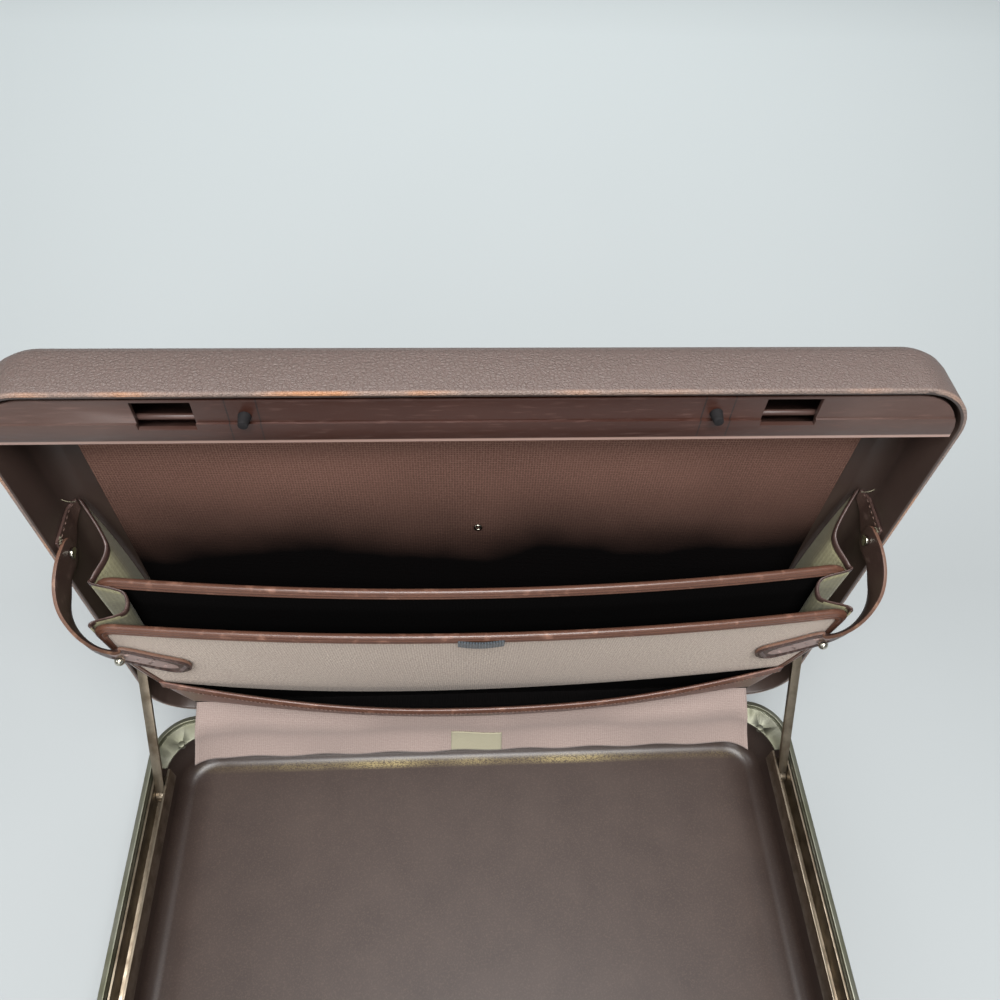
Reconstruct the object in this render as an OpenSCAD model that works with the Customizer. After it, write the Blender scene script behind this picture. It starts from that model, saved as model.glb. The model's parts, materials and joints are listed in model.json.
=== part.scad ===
// Hard attache case lying on its base, with the lid open and a file organiser in the lid.
// X runs across the case, -Y is the front with the handle, +Z is up.
// The origin is the centre of the flat face that the base rests on. Sizes are in millimetres.
// Lid parts are drawn closed and turned open about the hinge line.

/* [Case] */
// Width of the case across its front
case_w = 457; // [430:1:480]
// Depth of the case from front to hinge side
case_d = 312; // [300:1:345]
// Height of the base up to its rim
base_h = 76; // [74:1:90]
// Height of the lid above its rim
lid_h = 38; // [37:1:46]
// Thickness of the moulded walls
wall = 3; // [2.4:0.1:3.2]
// Radius of the upright corners
corner_r = 30; // [28:1:34]
// Radius of the long outer edges
edge_r = 14; // [10:1:16]
// Gap between the closed lid and the base rail
shut_gap = 0.4; // [0.3:0.1:0.6]
// Angle of the open lid from closed
lid_open = 92; // [88:1:98]

/* [Rail] */
// Width of the metal rail round the base rim
rail_w = 5; // [4.5:0.1:5.4]
// Height of the metal rail
rail_h = 9; // [8:0.5:11]
// Thickness of the rail's upstanding tongue
tongue_t = 1.2; // [1:0.1:1.4]
// Height of the tongue above the rim
tongue_h = 3; // [2:0.5:3.5]
// Width of the rail's sunk inner land, from the outside
land_w = 13; // [11:0.5:15]
// Thickness of the land
land_t = 1.6; // [1.2:0.1:2]
// Depth of the land below the rim
land_drop = 1; // [0.8:0.1:1.4]
// Radius of the rivets in the land's rear corners
rail_rivet_r = 2.2; // [1.6:0.1:2.6]

/* [Hinges] */
// Distance of the hinge line behind the rear walls
hinge_out = 3; // [2.9:0.1:3.2]
// Radius of the hinge knuckles
knuckle_r = 2.6; // [2.3:0.1:2.6]
// Radius of the hinge pins
hinge_pin_r = 1.2; // [1:0.1:1.4]
// Length of one hinge
hinge_l = 60; // [50:1:80]
// Distance of a hinge from the middle
hinge_x = 130; // [100:1:150]
// Height of a hinge leaf
leaf_h = 20; // [16:1:24]
// Thickness of a hinge leaf
leaf_t = 1.2; // [1:0.1:1.4]

/* [Feet] */
// Height of the feet on the hinge side
foot_h = 7; // [6:0.5:9]
// Radius of the feet
foot_r = 8; // [6:0.5:9]
// Distance of a foot from the case's upright corners
foot_gap = 0.5; // [0:0.5:8]

/* [Front strips] */
// Width of the moulded strip along the front of lid and base
strip_w = 31; // [30:0.5:34]
// Thickness of the strips
strip_t = 2.5; // [2:0.1:2.8]
// Width of the lid strip's sunk outer band
band_w = 18.8; // [18:0.1:20]
// Depth of the sunk outer band
band_drop = 1.2; // [0.8:0.1:1.6]
// Depth of the base cover below the rim
cover_drop = 2; // [1.5:0.1:3]
// Distance of a latch slot from the middle
slot_x = 141; // [140:1:144]
// Width of a latch slot
slot_w = 26; // [24:1:30]
// Distance of the rubber bumpers from the middle
bumper_x = 106; // [90:1:112]
// Radius of the rubber bumpers
bumper_r = 3; // [2.5:0.1:3.5]
// Length of the rubber bumpers
bumper_l = 6; // [4:0.5:7]

/* [Locks] */
// Width of a lock plate
lock_w = 80; // [78:1:84]
// Height of a lock plate
lock_h = 30; // [28:1:34]
// Thickness of a lock plate
lock_t = 1.5; // [1.2:0.1:2]
// Radius of the number dials
dial_r = 9; // [8.5:0.1:9.2]
// Thickness of a number dial
dial_t = 5; // [4:0.1:5.4]
// Distance between the middles of two dials
dial_pitch = 8; // [7.5:0.1:8.5]
// Radius of the lock's axle and pin
axle_r = 1.5; // [1.2:0.1:1.6]
// Depth of the lock pin behind the front face
latch_n = 13; // [12.5:0.1:13.5]
// Depth of the lock pin below the rim
latch_drop = 14; // [13:0.5:14]
// Width of a latch hook
hook_w = 16; // [12:1:16]
// Thickness of a latch hook
hook_t = 3; // [2.4:0.1:3.2]
// Radius of the catch bar
bar_r = 1.5; // [1.2:0.1:1.6]
// Travel of a slide button
slide_travel = 7; // [5:0.5:7]
// Width of a slide button
button_w = 16; // [14:1:18]
// Height of a slide button
button_h = 10; // [8:0.5:12]
// Depth of the lock case
lock_depth = 26; // [25:0.5:27.5]

/* [Handle] */
// Distance between the handle's two pivots
handle_span = 132; // [126:1:136]
// Distance from the pivots to the middle of the grip
handle_drop = 36; // [34:1:40]
// Radius of the grip
grip_r = 7.5; // [6.5:0.1:7.5]
// Radius of the handle pins
handle_pin_r = 2.5; // [2:0.1:2.8]
// Radius of the handle's bent ends
elbow_r = 16; // [14:0.5:18]

/* [Lid lining] */
// Distance of the lining panel's side edges from the case's sides
lining_inset = 23; // [21:1:32]
// Thickness of the lining panel
lining_t = 1.5; // [1:0.1:2]
// Distance of the lining's eyelet from the rear of the lid
eyelet_u = 170; // [160:1:200]

/* [Organiser] */
// Distance of the divider's and front panel's side edges from the case's sides
panel_inset = 16.5; // [16:0.5:28]
// Distance of the panels' lower corners from the case's sides
foot_inset = 36; // [32:1:44]
// Height above the hem at which the panels reach their full width
wide_s = 62; // [50:1:80]
// Distance of the organiser's hinge line from the rear of the lid
org_u = 30; // [28:1:34]
// Distance of the organiser's hinge line below the lid rim
org_drop = 6; // [5:0.5:8]
// Length of the front panel
panel_l = 134; // [124:1:142]
// Length of the divider
divider_l = 150; // [142:1:160]
// Thickness of the divider and the front panel
panel_t = 2.4; // [2:0.1:2.6]
// Bow of the front panel and divider at their top edges
panel_bow = 11; // [8:0.5:12]
// Distance between the closed divider and front panel
panel_pitch = 10.6; // [10:0.2:12]
// Lean of the open front panel from the lid
panel_lean = 8; // [6:0.5:9]
// Height of the bound top edges
binding_h = 7; // [5:0.5:9]
// Thickness of the vinyl of the bound edges
binding_t = 0.7; // [0.5:0.1:0.8]
// Bulge of the front pocket
pocket_bulge = 18; // [8:0.5:19]
// Height of the front pocket at its sides
pocket_side_h = 45; // [38:1:52]
// Height of the front pocket in its middle
pocket_mid_h = 35; // [30:1:44]
// Thickness of the pocket's vinyl
pocket_t = 1.4; // [1:0.1:1.6]
// Thickness of the side gussets
gusset_t = 0.9; // [0.6:0.1:1]
// Depth of the gussets' inward folds
gusset_fold = 9; // [6:0.5:11]
// Width of the elastic loop
elastic_w = 26; // [20:1:32]
// Height of the elastic loop
elastic_h = 9; // [7:0.5:12]
// Thickness of the elastic loop
elastic_t = 1.6; // [1.2:0.1:2]

/* [Straps] */
// Width of a strap
strap_w = 19; // [16:0.5:22]
// Thickness of a strap
strap_t = 1.8; // [1.4:0.1:2]
// Thickness of the anchor tabs
tab_t = 1.5; // [1:0.1:1.8]
// Distance of the anchor tabs from the rear of the lid
tab_u = 204; // [198:1:212]
// Distance of the straps' wall rivets from the rear of the lid
anchor_u = 188; // [182:1:192]
// Radius of the ball studs
ball_r = 3; // [2.5:0.1:3.4]
// Distance of the ball studs below the front panel's top edge
stud_drop = 35; // [33:1:48]
// Distance of the ball studs from the front panel's side edges
stud_inset = 4.5; // [4:0.5:8]

/* [Stays] */
// Distance of the stay arms from the case's sides
stay_inset = 10.5; // [10.2:0.1:10.9]
// Distance of a stay's lid pivot from the rear of the lid
stay_u = 80; // [76:1:84]
// Height of a stay's lid pivot above the lid rim
stay_v = 8; // [6:0.5:10]
// Distance of the stay's shoe in front of the hinge line with the lid open
shoe_f = 55; // [50:1:60]
// Depth of the stay's shoe below the hinge line
shoe_drop = 12; // [11:0.5:14]
// Width of a stay arm
stay_w = 7; // [6:0.5:8]
// Thickness of a stay arm
stay_t = 2; // [1.6:0.1:2.2]
// Radius of a stay's pivot
stay_pin_r = 2.5; // [2:0.1:2.6]
// Width of a stay's plastic shoe
shoe_w = 6.4; // [5.6:0.1:6.6]
// Radius of a stay's plastic shoe
shoe_r = 4; // [3.6:0.1:4.4]

/* [Hinge cloth] */
// Distance of the hinge cloth's side edges from the case's sides
cloth_inset = 25.5; // [21.5:0.5:32]
// Thickness of the hinge cloth
cloth_t = 0.8; // [0.6:0.1:1]
// Depth of the hinge cloth's lower edge below the rim
cloth_drop = 30; // [26:1:40]
// Width of the blank label
label_w = 37; // [30:1:44]
// Height of the blank label
label_h = 20; // [16:1:24]

/* [Hidden] */

// Clearance between pieces that move past each other
run_gap = 0.3;
// Clearance between pieces that are seated on each other
seat_gap = 0.2;
// Radial clearance of a pin that turns in its bore
pin_gap = 0.06;
// Radial clearance of a pin that is fixed in its bore
press_gap = 0.02;
// Depth by which a cut passes a face
cut = 1;
// Facets of rounded block corners, of exact rounds and of forms
corner_fn = 48;
round_fn = 48;
edge_steps = 5;
panel_nx = 20;
panel_ns = 5;

side_x = case_w / 2;
back_y = case_d / 2;
front_y = -case_d / 2;
rim_z = base_h;
land_z = rim_z - land_drop;
lid_z = rim_z + shut_gap;
hinge_y = back_y + hinge_out;
hinge_z = rim_z + shut_gap / 2;
// Depth of the tongue's outer face and of the strips' outer edge behind the outside
tongue_n = wall + 0.4;
strip_n = tongue_n + tongue_t + 0.6;
inner_top = lid_h - wall;
foot_x = side_x - corner_r - foot_r - foot_gap;
panel_half = side_x - panel_inset;
foot_half = side_x - foot_inset;
lining_half = side_x - lining_inset;
cloth_half = side_x - cloth_inset;
lining_z = lid_z + inner_top - seat_gap - lining_t;

// Latch slot edges, catch bar and hook, measured behind the front face and above the lid rim
slot_n0 = latch_n - 6.5;
slot_n1 = band_w + 3.4;
bar_n = band_w + 0.2;
bar_v = band_drop + strip_t + bar_r + seat_gap;
nose_gap = 0.7;
latch_z = rim_z - latch_drop;
nose_z = lid_z + bar_v + bar_r + nose_gap;
hook_top = nose_z + hook_t;
hook_ring = axle_r + 2.4;
hook_x = slot_x;

// Lock parts, measured from the middle of the case
lock_z = rim_z - 23;
lock_mid = slot_x - 3;
lock_in = lock_mid - lock_w / 2;
dial_n = dial_r - lock_t - 1.2;
dial_x0 = lock_in + 9;
case_in = lock_in + 2;
case_mid = dial_x0 + 2 * dial_pitch + dial_t / 2 + 2;
case_out = lock_mid + lock_w / 2 - 2;
case_t = 1.2;
case_foot = lock_z - 16;
case_top = min(latch_z + 6, rim_z - rail_h - seat_gap);
window_in = case_in + 2;
window_out = case_out - 2;
window_h = 22;
slide_x = slot_x + 10;
neck_w = 10;
neck_h = 7;
slide_plate_w = neck_w + 8;
slide_plate_h = neck_h + 7;
slide_plate_t = 2;
finger_w = 5;
finger_h = 4;
button_t = 3;
spring_w = 6;
spring_wall = 1.4;

// Handle
handle_n = 8;
handle_z = rim_z - 19;
ear_t = 2.5;
ear_h = 10;
eye_w = 6.4;
eye_r = handle_pin_r + 2.7;
bracket_t = 2;
bracket_w = 20;
bracket_h = 22;
arm_d = 8;

// Stays: the lid pivot and the shoe with the lid open
stay_x = side_x - stay_inset;
pivot_open = open_yz([back_y - stay_u, lid_z + stay_v]);
shoe_open = [hinge_y - shoe_f, hinge_z - shoe_drop];
stay_l = norm(pivot_open - shoe_open);
pivot_shut = [back_y - stay_u, lid_z + stay_v];
shoe_shut_y = pivot_shut[0] - sqrt(pow(stay_l, 2) - pow(pivot_shut[1] - shoe_open[1], 2));
guide_t = 1.5;
guide_half = shoe_w / 2 + 0.4;
guide_y0 = shoe_shut_y - shoe_r - 4;
// Slope of the open arm, which sets where the channel ends behind it
stay_slope = (pivot_open[0] - shoe_open[0]) / (pivot_open[1] - shoe_open[1]);
guide_y1 = shoe_open[0] + (rim_z - shoe_open[1]) * stay_slope
    + stay_w / 2 * sqrt(1 + pow(stay_slope, 2)) + 2;
spacer_r = stay_pin_r + 2;
stay_head = 1.4;
stay_eye_r = stay_pin_r + 2.5;
flange_w = shoe_w - 2 * seat_gap;
flange_t = 1.2;

// Organiser
org_y = back_y - org_u;
org_z = lid_z - org_drop;
divider_lean = panel_lean / 2;
hem_r = 2.2;
panel_s0 = hem_r + 0.6;
divider_s0 = -1.2;
floor_u = org_u - 12;
strap_on = 1.2;
web_t = 1.6;

// A point in the side view, turned with the lid from closed to open
function open_yz(p) =
    let (dy = p[0] - hinge_y, dz = p[1] - hinge_z, c = cos(lid_open), s = sin(lid_open))
    [hinge_y + dy * c + dz * s, hinge_z - dy * s + dz * c];

// Turns closed lid parts open about the hinge line
module open_lid() {
    translate([0, hinge_y, hinge_z])
        rotate([-lid_open, 0, 0])
            translate([0, -hinge_y, -hinge_z])
                children();
}

// Leans organiser parts, drawn along -Y from their hinge line, away from the lid
module leaning(angle) {
    open_lid()
        translate([0, org_y, org_z])
            rotate([angle, 0, 0])
                children();
}

// Puts a copy on the left (-1) or right (1) side
module on_side(side) {
    mirror([side < 0 ? 1 : 0, 0, 0]) children();
}

// Rounded rectangle in plan
module plan(w, d, r) {
    square([w - 2 * r, d], center = true);
    square([w, d - 2 * r], center = true);
    for (sx = [-1, 1], sy = [-1, 1])
        translate([sx * (w / 2 - r), sy * (d / 2 - r)])
            circle(r = r, $fn = round_fn);
}

// Ring in plan between two distances from the outside of the case
module plan_ring(n0, n1) {
    difference() {
        plan(case_w - 2 * n0, case_d - 2 * n0, corner_r - n0);
        plan(case_w - 2 * n1, case_d - 2 * n1, corner_r - n1);
    }
}

// Solid block with upright corners, a flat floor and rounded floor edges, set in by n
module half_block(n, h) {
    w = case_w - 2 * n;
    d = case_d - 2 * n;
    r = corner_r - n;
    e = edge_r - n;
    hull()
        for (sx = [-1, 1], sy = [-1, 1])
            translate([sx * (w / 2 - r), sy * (d / 2 - r), 0])
                rotate_extrude($fn = corner_fn)
                    polygon(concat([[0, 0]],
                        [for (i = [0:edge_steps]) let (a = 90 * i / edge_steps)
                            [r - e + e * sin(a), e - e * cos(a)]],
                        [[r, h], [0, h]]));
}

// The same block for the lid, with its flat side on top
module lid_block(n, h) {
    translate([0, 0, lid_z + lid_h - n])
        mirror([0, 0, 1])
            half_block(n, h);
}

// Bar along X with a given outline in the side view
module side_bar(x0, x1) {
    translate([x0, 0, 0])
        rotate([90, 0, 90])
            linear_extrude(height = x1 - x0)
                children();
}

// Round bar along X
module x_rod(x0, x1, y, z, r) {
    translate([x0, y, z])
        rotate([0, 90, 0])
            cylinder(r = r, h = x1 - x0, $fn = round_fn);
}

// Box between two corners
module block(a, b) {
    translate(a) cube(b - a);
}

// Closed sheet between a lower and an upper face, each given by a function of two shares
module sheet(lower, upper, np, nq) {
    row = np + 1;
    n = row * (nq + 1);
    pts = concat([for (j = [0:nq], i = [0:np]) lower(i / np, j / nq)],
        [for (j = [0:nq], i = [0:np]) upper(i / np, j / nq)]);
    faces = concat(
        [for (j = [0:nq - 1], i = [0:np - 1]) let (a = j * row + i) each
            [[a, a + 1, a + row + 1], [a, a + row + 1, a + row],
             [n + a, n + a + row, n + a + row + 1], [n + a, n + a + row + 1, n + a + 1]]],
        [for (i = [0:np - 1]) each
            [[i, n + i, n + i + 1], [i, n + i + 1, i + 1]]],
        [for (i = [0:np - 1]) let (a = nq * row + i) each
            [[a, n + a + 1, n + a], [a, a + 1, n + a + 1]]],
        [for (j = [0:nq - 1]) let (a = j * row, b = a + row) each
            [[b, n + b, n + a], [b, n + a, a]]],
        [for (j = [0:nq - 1]) let (a = j * row + np, b = a + row) each
            [[b, n + a, n + b], [b, a, n + a]]]);
    polyhedron(points = pts, faces = faces);
}

// Base shell with openings for the locks in its front wall
module base_shell() {
    color("#5a3f39")
    difference() {
        half_block(0, rim_z - rail_h);
        translate([0, 0, wall]) half_block(wall, base_h);
        for (side = [-1, 1]) on_side(side)
            block([window_in, front_y - cut, lock_z - window_h / 2],
                [window_out, front_y + wall + cut, lock_z + window_h / 2]);
    }
}

// Metal rail round the rim: outer band, upstanding tongue and a sunk inner land that stops at
// the lock cover, is cut away over the stays' channels and has rivet holes in its rear corners
module base_rail() {
    color("#a8a79c")
    difference() {
        union() {
            translate([0, 0, rim_z - rail_h + seat_gap])
                linear_extrude(height = rail_h - seat_gap) plan_ring(0, rail_w);
            translate([0, 0, rim_z - seat_gap])
                linear_extrude(height = tongue_h + seat_gap) plan_ring(tongue_n, tongue_n + tongue_t);
            difference() {
                translate([0, 0, land_z - land_t])
                    linear_extrude(height = land_t)
                        difference() {
                            plan(case_w - 2 * rail_w + 1, case_d - 2 * rail_w + 1, corner_r - rail_w + 0.5);
                            plan(case_w - 2 * land_w, case_d - 2 * land_w, corner_r);
                        }
                block([-side_x, front_y + rail_w, land_z - land_t - cut],
                    [side_x, front_y + strip_w + run_gap, land_z + cut]);
            }
        }
        rivet_rods(rail_rivet_r + press_gap, land_z - land_t - cut, land_t + 2 * cut);
        for (side = [-1, 1]) on_side(side)
            block([stay_x - guide_half - guide_t - run_gap, guide_y0 - run_gap, land_z - land_t - cut],
                [side_x - rail_w, guide_y1 + run_gap, land_z + cut]);
    }
}

// Upright rods in the middle of the land's rear corners
module rivet_rods(r, z, h) {
    rc = (corner_r - rail_w + corner_r * sqrt(2) - land_w * sqrt(2) - corner_r + land_w * 0.6) / 2;
    for (sx = [-1, 1])
        translate([sx * (side_x - corner_r + rc * sin(45)), back_y - corner_r + rc * cos(45), z])
            cylinder(r = r, h = h, $fn = round_fn);
}

module rail_rivets() {
    color("#c9c7b8") rivet_rods(rail_rivet_r, land_z - land_t - 2, land_t + 2.4);
}

// Moulded cover over the locks inside the front of the base
module lock_cover() {
    top = rim_z - cover_drop;
    y1 = front_y + strip_w;
    color("#4a3430")
    difference() {
        intersection() {
            translate([0, 0, wall + seat_gap]) half_block(rail_w + run_gap, base_h);
            union() {
                block([-side_x, front_y, top - strip_t], [side_x, y1, top]);
                block([-side_x, y1 - strip_t, 0], [side_x, y1, top]);
            }
        }
        for (side = [-1, 1]) on_side(side) {
            block([slot_x - slot_w / 2, front_y + slot_n0, top - strip_t - cut],
                [slot_x + slot_w / 2, front_y + slot_n1, top + cut]);
            translate([bumper_x, front_y + band_w - bumper_r - 1, top - strip_t - cut])
                cylinder(r = bumper_r + 1.5, h = strip_t + 2 * cut, $fn = round_fn);
        }
    }
}

// Knuckles and leaf of one hinge half: first says whether it holds the end knuckles
module hinge_half(first, up) {
    n = 5;
    kl = hinge_l / n;
    face_y = back_y + seat_gap;
    difference() {
        union() {
            block([-hinge_l / 2, face_y, hinge_z + (up ? knuckle_r + 0.8 : -leaf_h)],
                [hinge_l / 2, face_y + leaf_t, hinge_z + (up ? leaf_h : -knuckle_r - 0.8)]);
            for (i = [0:n - 1])
                if ((i % 2 == 0) == first) {
                    x0 = -hinge_l / 2 + i * kl + run_gap / 2;
                    x_rod(x0, x0 + kl - run_gap, hinge_y, hinge_z, knuckle_r);
                    block([x0, face_y, hinge_z + (up ? 0 : -knuckle_r - 1)],
                        [x0 + kl - run_gap, face_y + leaf_t, hinge_z + (up ? knuckle_r + 1 : 0)]);
                }
        }
        x_rod(-hinge_l, hinge_l, hinge_y, hinge_z, hinge_pin_r + (first ? press_gap : pin_gap));
    }
}

module hinge_base_leaves() {
    color("#9a998e") for (sx = [-1, 1]) translate([sx * hinge_x, 0, 0]) hinge_half(true, false);
}

module hinge_lid_leaves() {
    color("#9a998e") open_lid() for (sx = [-1, 1]) translate([sx * hinge_x, 0, 0]) hinge_half(false, true);
}

module hinge_pins() {
    color("#b5b4a8")
    for (sx = [-1, 1])
        x_rod(sx * hinge_x - hinge_l / 2, sx * hinge_x + hinge_l / 2, hinge_y, hinge_z, hinge_pin_r);
}

// Domed feet on the hinge side, which the case stands on when it is upright
module feet(z) {
    for (sx = [-1, 1])
        translate([sx * foot_x, back_y + seat_gap, z])
            rotate([-90, 0, 0])
                difference() {
                    cylinder(r = foot_r, h = foot_h, $fn = round_fn);
                    translate([0, 0, foot_h - 1])
                        difference() {
                            cylinder(r = foot_r + 1, h = 2, $fn = round_fn);
                            cylinder(r1 = foot_r, r2 = foot_r - 1.5, h = 2, $fn = round_fn);
                        }
                }
}

module base_feet() {
    color("#2c2a2a") feet(rim_z / 2);
}

module lid_feet() {
    color("#2c2a2a") open_lid() feet(lid_z + lid_h / 2 - 2);
}

// Lock plate with windows for the dials and a slot for the slide button
module lock_plate(side) {
    color("#b3ae9c")
    on_side(side)
        difference() {
            block([lock_in, front_y - seat_gap - lock_t, lock_z - lock_h / 2],
                [lock_in + lock_w, front_y - seat_gap, lock_z + lock_h / 2]);
            for (i = [0:2])
                block([dial_x(i) - dial_t / 2 - run_gap, front_y - lock_w, lock_z - dial_window / 2],
                    [dial_x(i) + dial_t / 2 + run_gap, front_y + cut, lock_z + dial_window / 2]);
            block([slide_x - neck_w / 2 - run_gap, front_y - lock_w, lock_z - neck_h / 2 - run_gap],
                [slide_x + neck_w / 2 + slide_travel + run_gap, front_y + cut,
                    lock_z + neck_h / 2 + run_gap]);
        }
}

function dial_x(i) = dial_x0 + i * dial_pitch;
// Height of the window where a dial passes the back of the lock plate
dial_window = 2 * sqrt(pow(dial_r, 2) - pow(dial_n + seat_gap, 2)) + 1;

// Lock case with cheeks that hold the dials' axle and the hook's pin
module lock_case(side) {
    y1 = front_y + lock_depth;
    color("#8f8d86")
    on_side(side)
        difference() {
            union() {
                block([case_in, y1 - case_t, case_foot], [case_out, y1, case_top]);
                for (x = [case_in, case_mid, case_out - case_t])
                    block([x, front_y + wall + run_gap, case_foot], [x + case_t, y1, case_top]);
            }
            x_rod(case_in - cut, case_mid + case_t + cut, front_y + dial_n, lock_z, axle_r + press_gap);
            x_rod(case_mid - cut, case_out + cut, front_y + latch_n, latch_z, axle_r + press_gap);
        }
}

module latch_pins() {
    color("#c0bfb6")
    for (side = [-1, 1]) on_side(side)
        x_rod(case_mid, case_out, front_y + latch_n, latch_z, axle_r);
}

module dial_axles() {
    color("#c0bfb6")
    for (side = [-1, 1]) on_side(side)
        x_rod(case_in, case_mid + case_t, front_y + dial_n, lock_z, axle_r);
}

// Wound return springs of the hooks, beside them on their pins
module latch_springs() {
    x0 = hook_x + hook_w / 2 + run_gap;
    color("#8b8b88")
    for (side = [-1, 1]) on_side(side)
        difference() {
            x_rod(x0, x0 + spring_w, front_y + latch_n, latch_z, axle_r + seat_gap + spring_wall);
            x_rod(x0 - cut, x0 + spring_w + cut, front_y + latch_n, latch_z, axle_r + seat_gap);
        }
}

// Number dial with a bore and a finger groove on each side
module dial(side, i) {
    color("#d8d2bf")
    on_side(side)
        difference() {
            x_rod(dial_x(i) - dial_t / 2, dial_x(i) + dial_t / 2, front_y + dial_n, lock_z, dial_r);
            x_rod(dial_x(i) - dial_t, dial_x(i) + dial_t, front_y + dial_n, lock_z, axle_r + pin_gap);
        }
}

// Slide button: outer button, neck through the plate, inner plate and finger
module lock_slide(side) {
    y0 = front_y - seat_gap - lock_t - run_gap;
    y1 = front_y + run_gap;
    color("#c9c3ad")
    on_side(side) {
        block([slide_x - button_w / 2, y0 - button_t, lock_z - button_h / 2],
            [slide_x + button_w / 2, y0, lock_z + button_h / 2]);
        block([slide_x - neck_w / 2, y0 - cut, lock_z - neck_h / 2],
            [slide_x + neck_w / 2, y1 + cut, lock_z + neck_h / 2]);
        block([slide_x - slide_plate_w / 2, y1, lock_z - slide_plate_h / 2],
            [slide_x + slide_plate_w / 2, y1 + slide_plate_t, lock_z + slide_plate_h / 2]);
        block([slide_x - finger_w / 2, y1, lock_z - finger_h / 2],
            [slide_x + finger_w / 2, front_y + latch_n - hook_t / 2 - 1, lock_z + finger_h / 2]);
    }
}

// Latch hook that turns on the lock pin and reaches over the lid's catch bar
module latch_hook(side) {
    y0 = front_y + latch_n;
    color("#b5b4a8")
    on_side(side)
        difference() {
            union() {
                x_rod(hook_x - hook_w / 2, hook_x + hook_w / 2, y0, latch_z, hook_ring);
                block([hook_x - hook_w / 2, y0 - hook_t / 2, latch_z - hook_ring - 4],
                    [hook_x + hook_w / 2, y0 + hook_t / 2, hook_top]);
                block([hook_x - hook_w / 2, y0 - hook_t / 2, nose_z],
                    [hook_x + hook_w / 2, front_y + bar_n + bar_r - seat_gap, hook_top]);
            }
            x_rod(hook_x - hook_w, hook_x + hook_w, y0, latch_z, axle_r + pin_gap);
        }
}

// Bracket with two ears that hold one end of the handle
module handle_bracket(side) {
    y0 = front_y - seat_gap;
    px = handle_span / 2;
    color("#a8a79c")
    on_side(side)
        difference() {
            union() {
                block([px - bracket_w / 2, y0 - bracket_t, handle_z - bracket_h / 2],
                    [px + bracket_w / 2, y0, handle_z + bracket_h / 2]);
                for (x = [px - eye_w / 2 - run_gap - ear_t, px + eye_w / 2 + run_gap]) {
                    block([x, front_y - handle_n, handle_z - ear_h / 2],
                        [x + ear_t, y0 - bracket_t / 2, handle_z + ear_h / 2]);
                    x_rod(x, x + ear_t, front_y - handle_n, handle_z, ear_h / 2);
                }
            }
            x_rod(px - bracket_w, px + bracket_w, front_y - handle_n, handle_z, handle_pin_r + press_gap);
        }
}

module handle_pins() {
    px = handle_span / 2;
    half = eye_w / 2 + run_gap + ear_t;
    color("#c9c7b8")
    for (side = [-1, 1]) on_side(side)
        x_rod(px - half, px + half, front_y - handle_n, handle_z, handle_pin_r);
}

// Carrying handle: round grip, bent ends, arms and eyes
module handle_grip() {
    px = handle_span / 2;
    y0 = front_y - handle_n;
    grip_z = handle_z - handle_drop;
    tube_r = grip_r - 1.3;
    color("#3d2a26")
    difference() {
        union() {
            x_rod(-(px - elbow_r), px - elbow_r, y0, grip_z, grip_r);
            for (side = [-1, 1]) on_side(side) {
                translate([px - elbow_r, y0, grip_z + elbow_r])
                    rotate([90, 0, 0])
                        rotate([0, 0, -90])
                            rotate_extrude(angle = 90, $fn = round_fn)
                                translate([elbow_r, 0]) circle(r = tube_r, $fn = round_fn);
                translate([px, y0, grip_z + elbow_r])
                    cylinder(r1 = tube_r, r2 = eye_w / 2, h = 6, $fn = round_fn);
                block([px - eye_w / 2, y0 - arm_d / 2, grip_z + elbow_r],
                    [px + eye_w / 2, y0 + arm_d / 2, handle_z]);
                x_rod(px - eye_w / 2, px + eye_w / 2, y0, handle_z, eye_r);
            }
        }
        x_rod(-px - eye_w, px + eye_w, y0, handle_z, handle_pin_r + pin_gap);
    }
}

// Channel along the inside of the base's side in which a stay's shoe runs
module stay_guide(side) {
    z0 = shoe_open[1] - shoe_r - run_gap - guide_t;
    z1 = land_z - 0.4;
    color("#97968c")
    on_side(side) {
        block([stay_x - guide_half - guide_t, guide_y0, z0],
            [side_x - wall - seat_gap, guide_y1, z0 + guide_t]);
        for (x = [stay_x - guide_half - guide_t, stay_x + guide_half])
            block([x, guide_y0, z0], [x + guide_t, guide_y1, z1]);
    }
}

// Stay arm from its lid pivot to its plastic shoe, with the lid open: a flat bar with a flange
// along its front edge, which ends clear of the pivot and the shoe
module stay_arm(side) {
    d = shoe_open - pivot_open;
    tilt = atan2(d[1], d[0]);
    color("#8d8b7c")
    on_side(side)
        difference() {
            union() {
                translate([stay_x - stay_t / 2, pivot_open[0], pivot_open[1]])
                    rotate([tilt, 0, 0]) {
                        block([0, 0, -stay_w / 2], [stay_t, stay_l, stay_w / 2]);
                        block([(stay_t - flange_w) / 2, stay_eye_r + 4, -stay_w / 2],
                            [(stay_t + flange_w) / 2, stay_l - shoe_r - 1, flange_t - stay_w / 2]);
                    }
                x_rod(stay_x - stay_t / 2, stay_x + stay_t / 2, pivot_open[0], pivot_open[1],
                    stay_eye_r);
                x_rod(stay_x - shoe_w / 2, stay_x + shoe_w / 2, shoe_open[0], shoe_open[1], shoe_r);
            }
            x_rod(stay_x - stay_w, stay_x + stay_w, pivot_open[0], pivot_open[1], stay_pin_r + pin_gap);
        }
}

// Rivets that carry the stays on the lid's side walls
module stay_rivets() {
    y = pivot_shut[0];
    z = pivot_shut[1];
    x0 = stay_x - stay_t / 2 - run_gap;
    color("#c0bfb6")
    open_lid() for (side = [-1, 1]) on_side(side) {
        x_rod(x0 - stay_head, x0, y, z, stay_pin_r + 1.5);
        x_rod(x0, side_x - wall - seat_gap, y, z, stay_pin_r);
        x_rod(stay_x + stay_t / 2 + run_gap, side_x - wall - seat_gap, y, z, spacer_r);
    }
}

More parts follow.
